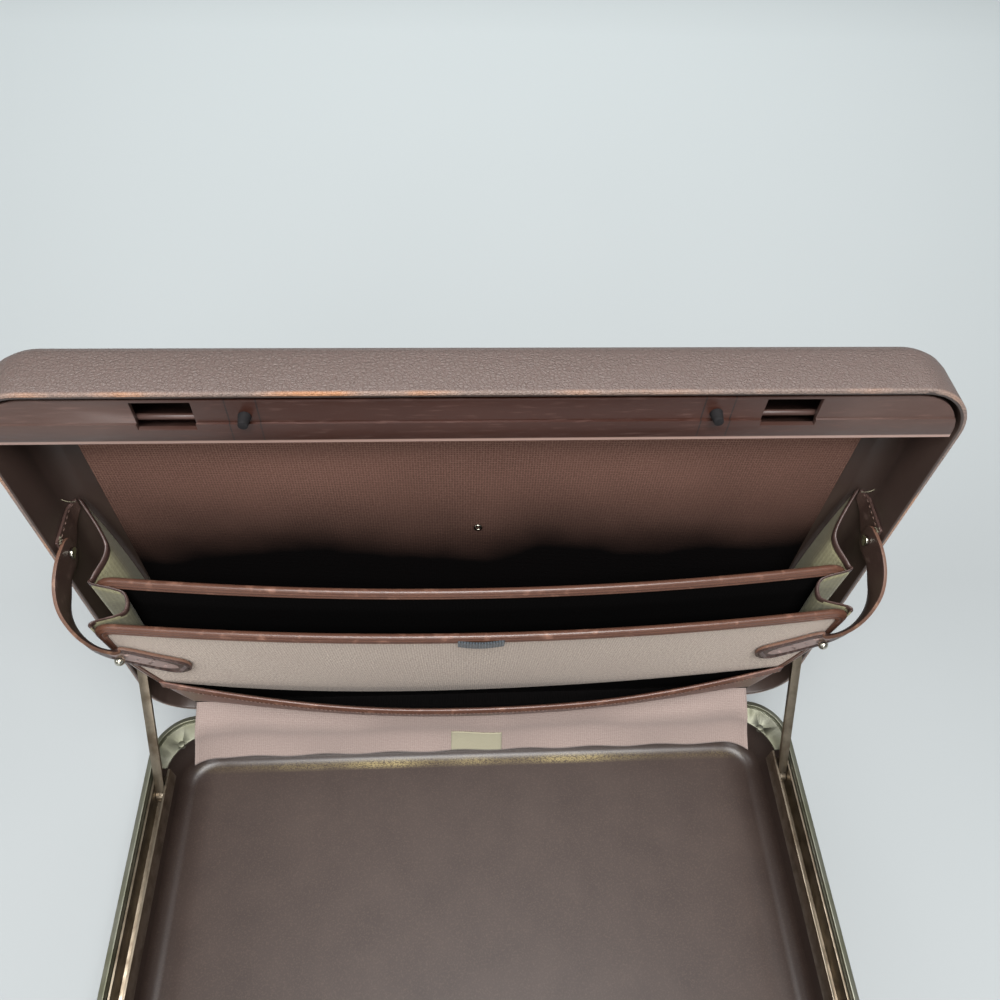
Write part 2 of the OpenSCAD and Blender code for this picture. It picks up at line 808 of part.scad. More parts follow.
module lid_shell() {
    color("#6e4f48")
    open_lid()
        difference() {
            lid_block(0, lid_h);
            lid_block(wall, lid_h + cut);
        }
}

// Side view of the lid's front strip: sunk band, raised band and inner wall
module strip_outline() {
    y0 = front_y + strip_n;
    y1 = front_y + band_w;
    y2 = front_y + strip_w;
    polygon([[y0, lid_z + band_drop], [y1, lid_z + band_drop], [y1, lid_z], [y2, lid_z],
        [y2, lid_z + inner_top - seat_gap], [y2 - strip_t, lid_z + inner_top - seat_gap],
        [y2 - strip_t, lid_z + strip_t], [y1 + strip_t, lid_z + strip_t],
        [y1, lid_z + band_drop + strip_t], [y0, lid_z + band_drop + strip_t]]);
}

module lid_front_strip() {
    color("#7a5f58")
    open_lid()
        difference() {
            intersection() {
                lid_block(strip_n, lid_h);
                side_bar(-side_x, side_x) strip_outline();
            }
            for (side = [-1, 1]) on_side(side)
                block([slot_x - slot_w / 2, front_y + slot_n0, lid_z - cut],
                    [slot_x + slot_w / 2, front_y + slot_n1, lid_z + strip_t + band_drop + cut]);
        }
}

module catch_bars() {
    half = slot_w / 2 + 4;
    color("#8f8d86")
    open_lid() for (side = [-1, 1]) on_side(side)
        x_rod(slot_x - half, slot_x + half, front_y + bar_n, lid_z + bar_v, bar_r);
}

// Rubber bumpers that stand out of the strip's sunk band
module lid_bumpers() {
    top = lid_z + band_drop - seat_gap;
    color("#1e1d1e")
    open_lid() for (sx = [-1, 1])
        translate([sx * bumper_x, front_y + band_w - bumper_r - 1, top - bumper_l])
            cylinder(r1 = bumper_r - 0.8, r2 = bumper_r, h = bumper_l, $fn = round_fn);
}

module lid_lining() {
    z1 = lid_z + inner_top - seat_gap;
    color("#54403c")
    open_lid()
        block([-lining_half, front_y + strip_w + seat_gap, lining_z],
            [lining_half, back_y - edge_r, z1]);
}

module lining_eyelet() {
    eyelet_h = 1;
    color("#cfcabb")
    open_lid()
        translate([0, back_y - eyelet_u, lining_z - seat_gap - eyelet_h])
            difference() {
                cylinder(r = 2.6, h = eyelet_h, $fn = round_fn);
                translate([0, 0, -cut]) cylinder(r = 1.4, h = eyelet_h + 2 * cut, $fn = round_fn);
            }
}

// Floor of the organiser: a thin board from the lining to the rod in the front panel's hem
module organiser_mount() {
    hem = [org_y, org_z];
    rear = [back_y - floor_u, lining_z - seat_gap - 0.3];
    along = (rear - hem) / norm(rear - hem);
    side = [-along[1], along[0]] * web_t / 2;
    color("#5d4741")
    open_lid() {
        x_rod(-foot_half, foot_half, org_y, org_z, hem_r);
        side_bar(-foot_half, foot_half) polygon([hem + side, rear + side, rear - side, hem - side]);
    }
}

// Half width of the organiser's panels at a height above the hem, narrower near the hem
function half_at(s) = foot_half + (panel_half - foot_half) * sin(90 * min(max(s / wide_s, 0), 1));
function across(p, s) = half_at(s) * (2 * p - 1);
// Offset of the bowed panels from flat
function bow(x, s) = -panel_bow * (1 - pow(x / half_at(s), 2)) * max(s, 0) / panel_l;

// Bowed panel from s0 to s1 along its lean, between two offsets
module bowed(s0, s1, w0, w1) {
    sheet(function (p, q) let (s = s1 + (s0 - s1) * q, x = across(p, s)) [x, -s, w0 + bow(x, s)],
        function (p, q) let (s = s1 + (s0 - s1) * q, x = across(p, s)) [x, -s, w1 + bow(x, s)],
        panel_nx, panel_ns);
}

// Bound edge: a folded strip over the top of a bowed panel
module binding(s1, w) {
    half = panel_t / 2 + seat_gap / 2;
    sheet(function (p, q) let (x = across(p, s1), e = edge_point(q, s1, w, half + binding_t))
            [x, e[0], e[1] + bow(x, -e[0])],
        function (p, q) let (x = across(p, s1), e = edge_point(q, s1, w, half))
            [x, e[0], e[1] + bow(x, -e[0])],
        panel_nx, 8);
}

// Point of the folded strip's outline, from its front edge over the top to its back edge
function edge_point(q, s1, w, r) =
    q < 0.25 ? [-(s1 - binding_h + binding_h * 4 * q), w - r]
    : q > 0.75 ? [-(s1 - binding_h * (4 * q - 3)), w + r]
    : let (a = (q - 0.5) * 360) [-(s1 + r * cos(a)), w + r * sin(a)];

module front_panel() {
    color("#a6958c") leaning(panel_lean) bowed(panel_s0, panel_l, -panel_t / 2, panel_t / 2);
}

module front_binding() {
    color("#8a5a4c") leaning(panel_lean) binding(panel_l, 0);
}

module divider_panel() {
    color("#5f4b45")
    leaning(divider_lean)
        bowed(divider_s0, divider_l, panel_pitch - panel_t / 2, panel_pitch + panel_t / 2);
}

module divider_binding() {
    color("#8a5a4c") leaning(divider_lean) binding(divider_l, panel_pitch);
}

// Top edge of the slash pocket above the hem, at a share of the panel's half width
function pocket_top(k) = pocket_mid_h + (pocket_side_h - pocket_mid_h) * pow(k, 2);
// Distance of the pocket in front of the panel, full down to its rounded lower edge
function pocket_off(k, q) = seat_gap + pocket_bulge * (1 - pow(k, 2)) * sqrt(1 - pow(q, 6));
// Point of the pocket between its top (q = 0) and the hem, at an offset through its thickness
function pocket_point(p, q, through) =
    let (k = 2 * p - 1, top = pocket_top(k), s = top + (panel_s0 + 1 - top) * q, x = (half_at(s) - 1) * k)
    [x, -s, bow(x, s) - panel_t / 2 - pocket_off(k, q) - through];

// Slash pocket: a bulging vinyl sheet, closed along its sides and lower edge
module front_pocket() {
    color("#74554c")
    leaning(panel_lean)
        sheet(function (p, q) pocket_point(p, q, pocket_t), function (p, q) pocket_point(p, q, 0),
            panel_nx, 8);
}

// Elastic loop under the middle of the front panel's bound edge
module elastic_tab() {
    w1 = -panel_t / 2 - seat_gap;
    s1 = panel_l - binding_h - 1;
    color("#3c4650")
    leaning(panel_lean + atan(panel_bow / panel_l))
        block([-elastic_w / 2, -s1, w1 - elastic_t], [elastic_w / 2, -s1 + elastic_h, w1]);
}

// Rows of a gusset from the organiser's floor (t = 0) to its top edge (t = 1): along the lining's
// side edge, an inward fold, round the divider's edge, a second fold, and the front panel's edge
function gusset_row(t) =
    let (
        back = [lining_half + gusset_t + (side_x - wall - 6.5 - lining_half - gusset_t) * pow(t, 3),
            floor_u + 2 + (tab_u - 1 - floor_u - 2) * t, inner_top - seat_gap - lining_t - 0.5 - 1.3 * t],
        ds = divider_s0 + 1 + (divider_l - divider_s0 - 2) * t,
        ps = panel_s0 + (panel_l - panel_s0 - 1) * t,
        edge_w = panel_t / 2 + binding_t + 0.6,
        d0 = edge_place(ds, panel_pitch + edge_w, divider_lean),
        d1 = edge_place(ds, panel_pitch - edge_w, divider_lean),
        f0 = edge_place(ps, edge_w, panel_lean),
        f1 = edge_place(ps, -1, panel_lean),
        inward = [gusset_fold * sqrt(t), 0, 0])
    [back, (back + d0) / 2 - inward, d0, d1, (d1 + f0) / 2 - inward * 0.8, f0, f1];

// Place beside a panel's edge, as distance from the middle, from the lid's rear and above its rim
function edge_place(s, w, a) =
    let (p = open_lid_point(s, w, a)) [half_at(s) + 2 * run_gap, back_y - p[0], p[1] - lid_z];

// Side gusset: cloth folded inward between the lid, the divider and the front panel
module gusset(side) {
    steps = 10;
    color("#6b5a48")
    open_lid() on_side(side)
        sheet(function (p, q) lid_place(gusset_row(1 - q)[round(p * 6)], 0),
            function (p, q) lid_place(gusset_row(1 - q)[round(p * 6)], gusset_t),
            6, steps);
}

// Turns a distance from the middle, from the lid's rear and above its rim into a point
function lid_place(r, out) = [r[0] + out, back_y - r[1], lid_z + r[2]];

// A point of a leaning panel, in the closed lid's side view
function open_lid_point(s, w, a) =
    [org_y - s * cos(a) - w * sin(a), org_z - s * sin(a) + w * cos(a)];

// Leather tab on the lid's side wall that anchors gusset and strap
module anchor_tab(side) {
    x1 = side_x - wall - seat_gap;
    v0 = lid_z + tongue_h + 0.6;
    v1 = lid_z + inner_top - edge_r + wall;
    y0 = back_y - tab_u;
    half = strap_w / 2;
    color("#6a4b40")
    open_lid() on_side(side)
        side_bar(x1 - tab_t, x1)
            polygon([[y0 - half, v0], [y0 - half / 2, v1], [y0 + half / 2, v1],
                [back_y - anchor_u + half / 2, v0]]);
}

module anchor_rivets() {
    x1 = strap_x - strap_t / 2 - run_gap;
    color("#b5b4a8")
    open_lid() for (side = [-1, 1]) on_side(side)
        x_rod(x1 - 1.6, x1, back_y - anchor_u, lid_z + anchor_v, 3.2);
}

// Middle line of a strap, as distance from the middle, from the rear of the lid and above its rim,
// with the turn of its face from the panel (0) to the lid's wall (90)
strap_x = side_x - wall - seat_gap - tab_t - run_gap - strap_t / 2;
anchor_v = 6;
stud_s = panel_l - stud_drop;
stud_x = panel_half - stud_inset;
strap_rise = 0.5;
strap_edge = on_panel(panel_half + 0.9, stud_s + (stud_inset + 0.9) * strap_rise);
strap_wall = [strap_x, anchor_u, anchor_v];
strap_bend = 8;
strap_route = concat(
    [for (x = [-28, -20, -11, -2]) concat(on_panel(stud_x + x, stud_s + x * strap_rise), [0])],
    [for (i = [0:strap_bend]) let (t = i / strap_bend)
        concat(free_run(t), [90 * min(1.3 * t + 0.12, 1)])],
    [concat(strap_wall + [0, 0, 10], [90])]);

// Curved free stretch of the strap from the panel's edge to the lid's wall
function free_run(t) =
    let (a = strap_edge, b = strap_edge + [9, 24, -9], c = strap_wall + [1, 4, -30], d = strap_wall)
    a * pow(1 - t, 3) + b * 3 * t * pow(1 - t, 2) + c * 3 * pow(t, 2) * (1 - t) + d * pow(t, 3);

// A strap point that lies on the front of the front panel
function on_panel(x, s) =
    let (w = bow(x, s) - panel_t / 2 - strap_on - strap_t / 2, p = open_lid_point(s, w, panel_lean))
    [x, back_y - p[0], p[1] - lid_z];

// Direction of the route at each point, and the outward direction of the strap's face there
function route_way(i) =
    let (a = strap_route[max(i - 1, 0)], b = strap_route[min(i + 1, len(strap_route) - 1)],
        d = [b[0] - a[0], b[1] - a[1], b[2] - a[2]])
    d / norm(d);
function route_out(i) =
    let (a = strap_route[i][3], lean = panel_lean * cos(a), t = route_way(i),
        n = [sin(a), -cos(a) * sin(lean), -cos(a) * cos(lean)], flat = n - t * (n * t))
    flat / norm(flat);

// Point of a strap at route step i, offset across its width and through its thickness
function strap_point(i, across_w, through) =
    let (r = strap_route[i], n = route_out(i), w = cross(n, route_way(i)))
    lid_place([r[0], r[1], r[2]] + w * across_w + n * through, 0);

// Width of a strap along its route, with a round end on the panel
function strap_half(i) = strap_w / 2 * (i == 0 ? 0.5 : i == 1 ? 0.92 : 1);

module strap(side) {
    last = len(strap_route) - 1;
    color("#6a4b47")
    open_lid() on_side(side)
        sheet(function (p, q) let (i = round(p * last))
                strap_point(i, strap_half(i) * (2 * q - 1), -strap_t / 2),
            function (p, q) let (i = round(p * last))
                strap_point(i, strap_half(i) * (2 * q - 1), strap_t / 2),
            last, 2);
}

// Ball studs that hold the straps on the front panel
module strap_studs() {
    w = bow(stud_x, stud_s) - panel_t / 2 - seat_gap;
    color("#b8b6a6")
    leaning(panel_lean)
        for (sx = [-1, 1])
            translate([sx * stud_x, -stud_s, w])
                mirror([0, 0, 1]) {
                    cylinder(r = 1.4, h = strap_on + strap_t + 3, $fn = round_fn);
                    translate([0, 0, strap_on + strap_t + ball_r])
                        sphere(r = ball_r, $fn = round_fn);
                }
}

// Route of the hinge cloth in the side view: from its lower edge in the base up to the organiser
cloth_end = open_yz([org_y, org_z]) - [0.5, hem_r + cloth_t / 2 + run_gap];
cloth_y = back_y - land_w;
cloth_route = [[cloth_y - 6, rim_z - cloth_drop], [cloth_y - 4.6, rim_z - cloth_drop * 0.67],
    [cloth_y - 3.4, rim_z - cloth_drop * 0.35], [cloth_y - 2.6, rim_z - 2], [cloth_y - 1.6, rim_z + 6],
    [cloth_y + 0.6, rim_z + 13], cloth_end * 0.4 + [cloth_y + 0.6, rim_z + 13] * 0.6,
    cloth_end * 0.75 + [cloth_y + 0.6, rim_z + 13] * 0.25, cloth_end];

// Distance by which the cloth's lower part keeps forward of the land's rear corners
function hug(x) =
    let (d = max(abs(x) - (side_x - land_w - corner_r), 0))
    corner_r - sqrt(pow(corner_r, 2) - pow(d, 2));

function cloth_point(p, q, through) =
    let (last = len(cloth_route) - 1, i = round(q * last), c = cloth_route[i],
        a = cloth_route[max(i - 1, 0)], b = cloth_route[min(i + 1, last)],
        t = (b - a) / norm(b - a), x = (cloth_half + (foot_half - cloth_half) * q) * (2 * p - 1),
        wave = 1.1 * sin(x * 3.1 + 40) * sin(180 * min(q * 1.2, 1)) + 0.7 * sin(x * 7.3) * (1 - q),
        forward = hug(x) * min(max((7 - i) / 3, 0), 1))
    [x, c[0] - forward - t[1] * (through + wave), c[1] + t[0] * (through + wave)];

// Cloth over the hinge line, with shallow waves
module hinge_cloth() {
    color("#a3928d")
    sheet(function (p, q) cloth_point(p, q, -cloth_t / 2), function (p, q) cloth_point(p, q, cloth_t / 2),
        40, len(cloth_route) - 1);
}

// Blank label on the hinge cloth, tilted as the cloth is there
module label_patch() {
    a = cloth_route[0];
    b = cloth_route[3];
    tilt = atan2(b[1] - a[1], b[0] - a[0]);
    color("#d9d3ae")
    translate([0, a[0], a[1]])
        rotate([tilt, 0, 0])
            block([-label_w / 2, 3, 2.4], [label_w / 2, 3 + label_h, 3]);
}

base_shell();
base_rail();
lock_cover();
hinge_base_leaves();
hinge_pins();
lock_plate(-1);  // lock_plate_left
lock_plate(1);  // lock_plate_right
lock_case(-1);  // lock_case_left
lock_case(1);  // lock_case_right
latch_pins();
latch_springs();
dial_axles();
handle_bracket(-1);  // handle_bracket_left
handle_bracket(1);  // handle_bracket_right
handle_pins();
stay_guide(-1);  // stay_guide_left
stay_guide(1);  // stay_guide_right
rail_rivets();
base_feet();
hinge_cloth();
label_patch();
lid_shell();
lid_front_strip();
catch_bars();
lid_bumpers();
lid_lining();
lining_eyelet();
hinge_lid_leaves();
stay_rivets();
anchor_tab(-1);  // anchor_tab_left
anchor_tab(1);  // anchor_tab_right
anchor_rivets();
organiser_mount();
gusset(-1);  // gusset_left
gusset(1);  // gusset_right
lid_feet();
front_panel();
front_binding();
front_pocket();
elastic_tab();
strap(-1);  // strap_left
strap(1);  // strap_right
strap_studs();
divider_panel();
divider_binding();
stay_arm(-1);  // stay_arm_left
stay_arm(1);  // stay_arm_right
handle_grip();
lock_slide(-1);  // lock_slide_left
lock_slide(1);  // lock_slide_right
latch_hook(-1);  // latch_hook_left
latch_hook(1);  // latch_hook_right
dial(-1, 0);  // dial_left_1
dial(-1, 1);  // dial_left_2
dial(-1, 2);  // dial_left_3
dial(1, 0);  // dial_right_1
dial(1, 1);  // dial_right_2
dial(1, 2);  // dial_right_3
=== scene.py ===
# %% [markdown]
# # An attache case with its lid open
# The case stands open on a pale floor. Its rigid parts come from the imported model, which holds
# every size and joint, and this lesson gives them their finishes. The soft parts of the file
# organiser in the lid are modelled here as what they are: boards in cloth, bound edges, a
# pocket, folded gussets, straps and the cloth over the hinge.

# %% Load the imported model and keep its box
import json
import random
from math import ceil, cos, floor, pi, radians, sin, sqrt, tau

import bmesh
import bpy
from mathutils import Matrix, Vector


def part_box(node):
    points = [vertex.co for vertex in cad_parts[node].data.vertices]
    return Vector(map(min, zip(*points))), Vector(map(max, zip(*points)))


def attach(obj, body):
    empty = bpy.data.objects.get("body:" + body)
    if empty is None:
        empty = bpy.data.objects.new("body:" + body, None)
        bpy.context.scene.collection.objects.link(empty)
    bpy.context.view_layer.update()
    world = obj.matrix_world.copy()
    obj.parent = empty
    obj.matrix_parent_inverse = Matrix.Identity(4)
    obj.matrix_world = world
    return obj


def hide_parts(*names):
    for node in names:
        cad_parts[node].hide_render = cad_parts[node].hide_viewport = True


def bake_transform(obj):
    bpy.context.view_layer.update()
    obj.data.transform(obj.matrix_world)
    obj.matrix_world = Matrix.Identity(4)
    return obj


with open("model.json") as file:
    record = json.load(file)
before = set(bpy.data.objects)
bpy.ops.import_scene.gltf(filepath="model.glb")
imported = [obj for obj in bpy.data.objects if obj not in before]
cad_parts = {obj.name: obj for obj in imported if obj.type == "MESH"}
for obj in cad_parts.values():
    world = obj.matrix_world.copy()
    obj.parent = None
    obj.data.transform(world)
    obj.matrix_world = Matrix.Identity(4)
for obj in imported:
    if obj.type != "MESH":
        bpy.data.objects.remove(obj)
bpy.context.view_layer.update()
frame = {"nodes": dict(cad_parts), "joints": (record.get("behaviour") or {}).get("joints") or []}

random.seed(7)

# %% [markdown]
# The work below is in millimetres, as on a drawing, and each finished mesh is scaled to metres
# once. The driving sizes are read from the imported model, so the soft parts follow it.

# %% Sizes of the case
MM = 0.001
SIDE_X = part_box("base_shell")[1].x / MM
BACK_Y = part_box("base_shell")[1].y / MM
TONGUE_H = 3
RIM_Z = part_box("base_rail")[1].z / MM - TONGUE_H
joints = {joint["name"]: joint for joint in frame["joints"]}
HINGE = Vector(joints["lid_hinge"]["pos_m"]) / MM
LID_OPEN = max(joints["lid_hinge"]["range_deg"])
LID_RIM = 2 * HINGE.z - RIM_Z
WALL = 3
SIDES = ((-1, "left"), (1, "right"))
print("case", 2 * SIDE_X, "by", 2 * BACK_Y, "mm, rim at", round(RIM_Z, 1), "lid open", LID_OPEN)

# %% [markdown]
# Every piece of the lid is easiest to describe on the closed lid: how far it is from the middle,
# how far in front of the rear wall, and how far above the lid's rim. One turn about the hinge
# line then opens it.

# %% Places in the lid
TURN_OPEN = (Matrix.Translation(HINGE) @ Matrix.Rotation(radians(-LID_OPEN), 4, "X")
             @ Matrix.Translation(-HINGE))


def in_lid(x, from_rear, above_rim):
    """A place in the open lid, from distances measured on the closed lid."""
    return TURN_OPEN @ Vector((x, BACK_Y - from_rear, LID_RIM + above_rim))


def at_side(side, spot):
    """A place in the open lid, from the lid distances of a spot in its right half."""
    return in_lid(side * spot.x, spot.y, spot.z)


print("the lid's top edge stands at", round(in_lid(0, 2 * BACK_Y, 0).z), "mm")

# %% [markdown]
# ## The camera
# The photograph looks down into the open lid from in front of the case. The place and the turn of
# the camera were worked out from the hinge line, the lid's corners and the ends of the organiser.
# It is rolled round its own axis, tipped down from the level and then turned to the side.

# %% Camera
CAMERA_PLACE = Vector((-14, -79, 648))
CAMERA_DOWN, CAMERA_YAW, CAMERA_ROLL = (radians(turn) for turn in (53.29, 5.38, 3.59))
SENSOR, LENS = 36, 29.42
camera = bpy.data.objects.new("camera", bpy.data.cameras.new("camera"))
camera.data.sensor_width = SENSOR
camera.data.lens = LENS
camera.data.clip_start = 0.02
bpy.context.scene.collection.objects.link(camera)
camera.matrix_world = (Matrix.Translation(CAMERA_PLACE * MM) @ Matrix.Rotation(-CAMERA_YAW, 4, "Z")
                       @ Matrix.Rotation(pi / 2 - CAMERA_DOWN, 4, "X")
                       @ Matrix.Rotation(CAMERA_ROLL, 4, "Z"))
bpy.context.scene.camera = camera
bpy.context.scene.view_settings.view_transform = "Standard"
print("camera at", list(CAMERA_PLACE), "with a lens of", LENS, "mm")

# %% [markdown]
# ## Colours and nodes
# Colours are written as they look on a screen and turned to linear light in one place. Every
# material is built with one small function that adds a node with its settings and its links.


# %% Colour and node helpers
def colour(code):
    """Linear colour from a screen hex code such as 8a5a4c."""
    parts = [int(code[i:i + 2], 16) / 255 for i in (0, 2, 4)]
    return tuple(c / 12.92 if c <= 0.04045 else ((c + 0.055) / 1.055) ** 2.4 for c in parts) + (1,)


def add(kind, inputs, **settings):
    """Adds a node. An input is a number, a hex colour or an output, whose material it joins."""
    tree = next(value.id_data for value in inputs.values() if isinstance(value, bpy.types.NodeSocket))
    node = tree.nodes.new("ShaderNode" + kind)
    for name, value in settings.items():
        setattr(node, name, value)
    for name, value in inputs.items():
        if isinstance(value, bpy.types.NodeSocket):
            tree.links.new(value, node.inputs[name])
        else:
            node.inputs[name].default_value = colour(value) if isinstance(value, str) else value
    return node


def shader_socket(material, name):
    return material.node_tree.nodes["Principled BSDF"].inputs[name.replace("_", " ")]


def start(name, coords="Object", **constants):
    """A new material with constants on its shader, and the coordinates of its patterns."""
    material = bpy.data.materials.new(name)
    material.use_nodes = True
    for socket, value in constants.items():
        shader_socket(material, socket).default_value = value
    return material, material.node_tree.nodes.new("ShaderNodeTexCoord").outputs[coords]


def wire(material, **outputs):
    """Links outputs to the sockets of the material's shader, and returns the material."""
    for socket, output in outputs.items():
        material.node_tree.links.new(output, shader_socket(material, socket))
    return material


print("one brown of the case in linear light:", [round(c, 3) for c in colour("5e4340")[:3]])

# %% [markdown]
# Three patterns come back in many finishes. A noise spot is as wide as its size in millimetres. A
# thread pattern is a wave, and its pitch is the distance between two threads. Height becomes bump,
# and its depth is given in millimetres too.

# %% Patterns that several finishes share
WAVE_PERIOD = 2 * pi / 20


def mix(share, first, second):
    """Colour between first and second, by a share from 0 to 1."""
    return add("Mix", {0: share, 6: first, 7: second}, data_type="RGBA").outputs[2]


def spots(where, size, detail=2.0, unit=MM):
    """Soft noise with spots about size millimetres wide; unit is 1 where the UV map is used."""
    return add("TexNoise", {"Vector": where, "Scale": 1 / (size * unit), "Detail": detail}).outputs["Fac"]


def between(value, low, high, to_low=0.0, to_high=1.0):
    """Value stretched from low..high to to_low..to_high, and held at the ends."""
    return add("MapRange", {"Value": value, "From Min": low, "From Max": high,
                            "To Min": to_low, "To Max": to_high}).outputs["Result"]


def maths(operation, first, second=0.0):
    """One sum of two numbers or outputs."""
    return add("Math", {0: first, 1: second}, operation=operation).outputs[0]


def times(*factors):
    """All the factors multiplied."""
    product = factors[0]
    for factor in factors[1:]:
        product = maths("MULTIPLY", product, factor)
    return product


def off_by(value, middle):
    """How far a value is from the middle, on either side."""
    return maths("ABSOLUTE", maths("SUBTRACT", value, middle))


def axis(where, letter):
    """One coordinate of a place."""
    return add("SeparateXYZ", {0: where}).outputs[letter]


def mapped(where, scale=(1, 1, 1), turn=(0, 0, 0), shift=(0, 0, 0)):
    """A place that is stretched, turned and then moved."""
    return add("Mapping", {"Vector": where, "Scale": scale, "Rotation": turn, "Location": shift}).outputs[0]


def bump(height, depth, strength=1.0):
    """Normal for a surface whose height of 1 is depth millimetres."""
    return add("Bump", {"Height": height, "Distance": depth * MM, "Strength": strength}).outputs["Normal"]


def threads(where, pitch, direction, wander):
    """Waves across the cloth, one for each thread, that wander a little."""
    return add("TexWave", {"Vector": where, "Scale": WAVE_PERIOD / pitch,
                           "Distortion": wander, "Detail": 1.0, "Detail Scale": 2.0},
               bands_direction=direction).outputs["Fac"]


print("a wave of", round(WAVE_PERIOD, 3), "units makes one thread")

# %% [markdown]
# ## Floor, light and background
# The floor and the background are pale, and the floor is painted paler behind the case as painted
# light. The light comes from the whole pale room and from four soft lamps. A strong one above and
# in front gives the vinyl and the metal their long highlights, and weak ones at the left, in front
# and behind lift the shadows.


# %% Floor and lights
def pale_floor():
    """A wide floor under the case, which is stage and not part of the object."""
    surface, place = start("floor_paint", Roughness=0.7)
    near = mix(spots(place, 600), "9fa4a5", "a8acad")
    # Painted light: the floor is painted paler from 0.3 to 1.4 metres behind the case, towards dae2e3.
    away = between(axis(place, "Y"), 0.3, 1.4)
    wire(surface, Base_Color=mix(away, near, "dae2e3"))
    maker = bmesh.new()
    bmesh.ops.create_grid(maker, x_segments=1, y_segments=1, size=4.0)
    mesh = bpy.data.meshes.new("floor")
    maker.to_mesh(mesh)
    maker.free()
    mesh.materials.append(surface)
    ground = bpy.data.objects.new("floor", mesh)
    bpy.context.scene.collection.objects.link(ground)


def lamp(name, place, target, size, power):
    """A soft rectangular lamp that faces a target."""
    light = bpy.data.lights.new(name, "AREA")
    light.shape = "RECTANGLE"
    light.size, light.size_y = size
    light.energy = power
    holder = bpy.data.objects.new(name, light)
    bpy.context.scene.collection.objects.link(holder)
    holder.location = place
    holder.rotation_euler = (Vector(target) - Vector(place)).to_track_quat("-Z", "Y").to_euler()


pale_floor()
lamp("softbox_top", (0.05, -0.55, 1.9), (0, 0.1, 0.15), (1.2, 0.8), 56)
lamp("softbox_left", (-1.7, -0.7, 1.5), (0, 0.1, 0.2), (0.9, 0.9), 8)
lamp("softbox_front", (-0.2, -1.7, 1.0), (0, 0.15, 0.25), (1.0, 0.6), 9)
lamp("softbox_rear", (0.2, 1.7, 2.0), (0, 0.15, 0.3), (2.2, 1.0), 14)
world = bpy.data.worlds.new("pale_room")
world.use_nodes = True
backdrop = world.node_tree.nodes["Background"]
backdrop.inputs["Color"].default_value = colour("e9ecee")
backdrop.inputs["Strength"].default_value = 0.3
bpy.context.scene.world = world

# %% [markdown]
# ## The moulded shells
# The shells are moulded ABS with a leather grain outside: creases about two millimetres apart,
# and a finer wrinkle between them. Inside they are smooth and dark. Along the rim the colour is
# rubbed pale, and to an orange tan in the most worn places. Inside and outside are told apart by
# whether the surface faces away from the middle of the half, and the rim by its height. The base
# has golden dust on its floor, and its golden line at the foot of the rear wall is partly dust and
# partly a painted sheen.

# %% Grained shell finish
GRAIN = 2.0
WORN_BAND = 1.8
DUST_AND_SHEEN_Y = (137.5, 141, 143, 146.8)
DUST_AND_SHEEN_Z = (4.5, 6.8)


def facing_out(place, centre):
    """1 on faces that look away from a centre in millimetres, and 0 on the others."""
    away = add("VectorMath", {0: place, 1: centre * MM}, operation="SUBTRACT").outputs[0]
    dot = add("VectorMath", {0: away, 1: place.node.outputs["Normal"]}, operation="DOT_PRODUCT")
    return between(dot.outputs["Value"], -0.0005, 0.0005)


def turned(where, turn):
    """The place where a turn in millimetres brings a point."""
    return mapped(where, turn=turn.to_euler(), shift=turn.translation * MM)


def leather_grain(where, size):
    """Height and crease mask of an embossed leather grain, with creases about size apart."""
    warp = add("TexNoise", {"Vector": where, "Scale": 1 / (1.6 * size * MM), "Detail": 3.0})
    moved = add("Mix", {0: 0.6 * size * MM, 4: where, 5: warp.outputs["Color"]}, data_type="VECTOR")
    cells = add("TexVoronoi", {"Vector": moved.outputs[1], "Scale": 1 / (size * MM),
                               "Randomness": 1.0}, feature="DISTANCE_TO_EDGE")
    crease = between(cells.outputs["Distance"], 0.0, 0.24)
    folds = mapped(where, (0.45, 1.0, 1.0), (0, 0, 0.5))
    fine = maths("ADD", spots(folds, size / 1.6, 3.0), spots(where, size / 3))
    return maths("ADD", times(crease, 0.45), fine), crease


def dust_and_sheen(place, inner):
    """The base's inside with a golden line along the foot of its rear wall: dust, and a painted sheen along
    the fillet.
    """
    y, z = axis(place, "Y"), axis(place, "Z")
    side = off_by(axis(place, "X"), 0.0)
    # The golden line is partly dust and partly a painted sheen along the fillet between floor and rear wall.
    line = times(between(y, DUST_AND_SHEEN_Y[0] * MM, DUST_AND_SHEEN_Y[1] * MM), between(y, DUST_AND_SHEEN_Y[3] * MM, DUST_AND_SHEEN_Y[2] * MM),
                 between(z, DUST_AND_SHEEN_Z[1] * MM, DUST_AND_SHEEN_Z[0] * MM), between(side, 0.17, 0.1, 0.25, 1.0))
    strands = mapped(place, (0.6, 1.0, 1.0))
    specks = between(spots(strands, 0.7, 4.0), 0.36, 0.6)
    along = between(spots(place, 60, 2.0), 0.4, 0.6, 0.35, 1.0)
    film = between(spots(place, 1.1, 5.0), 0.5, 0.8, 0.0, 0.3)
    return mix(times(line, specks, along, 0.75), mix(film, inner, "6e5f50"), "b8a675")


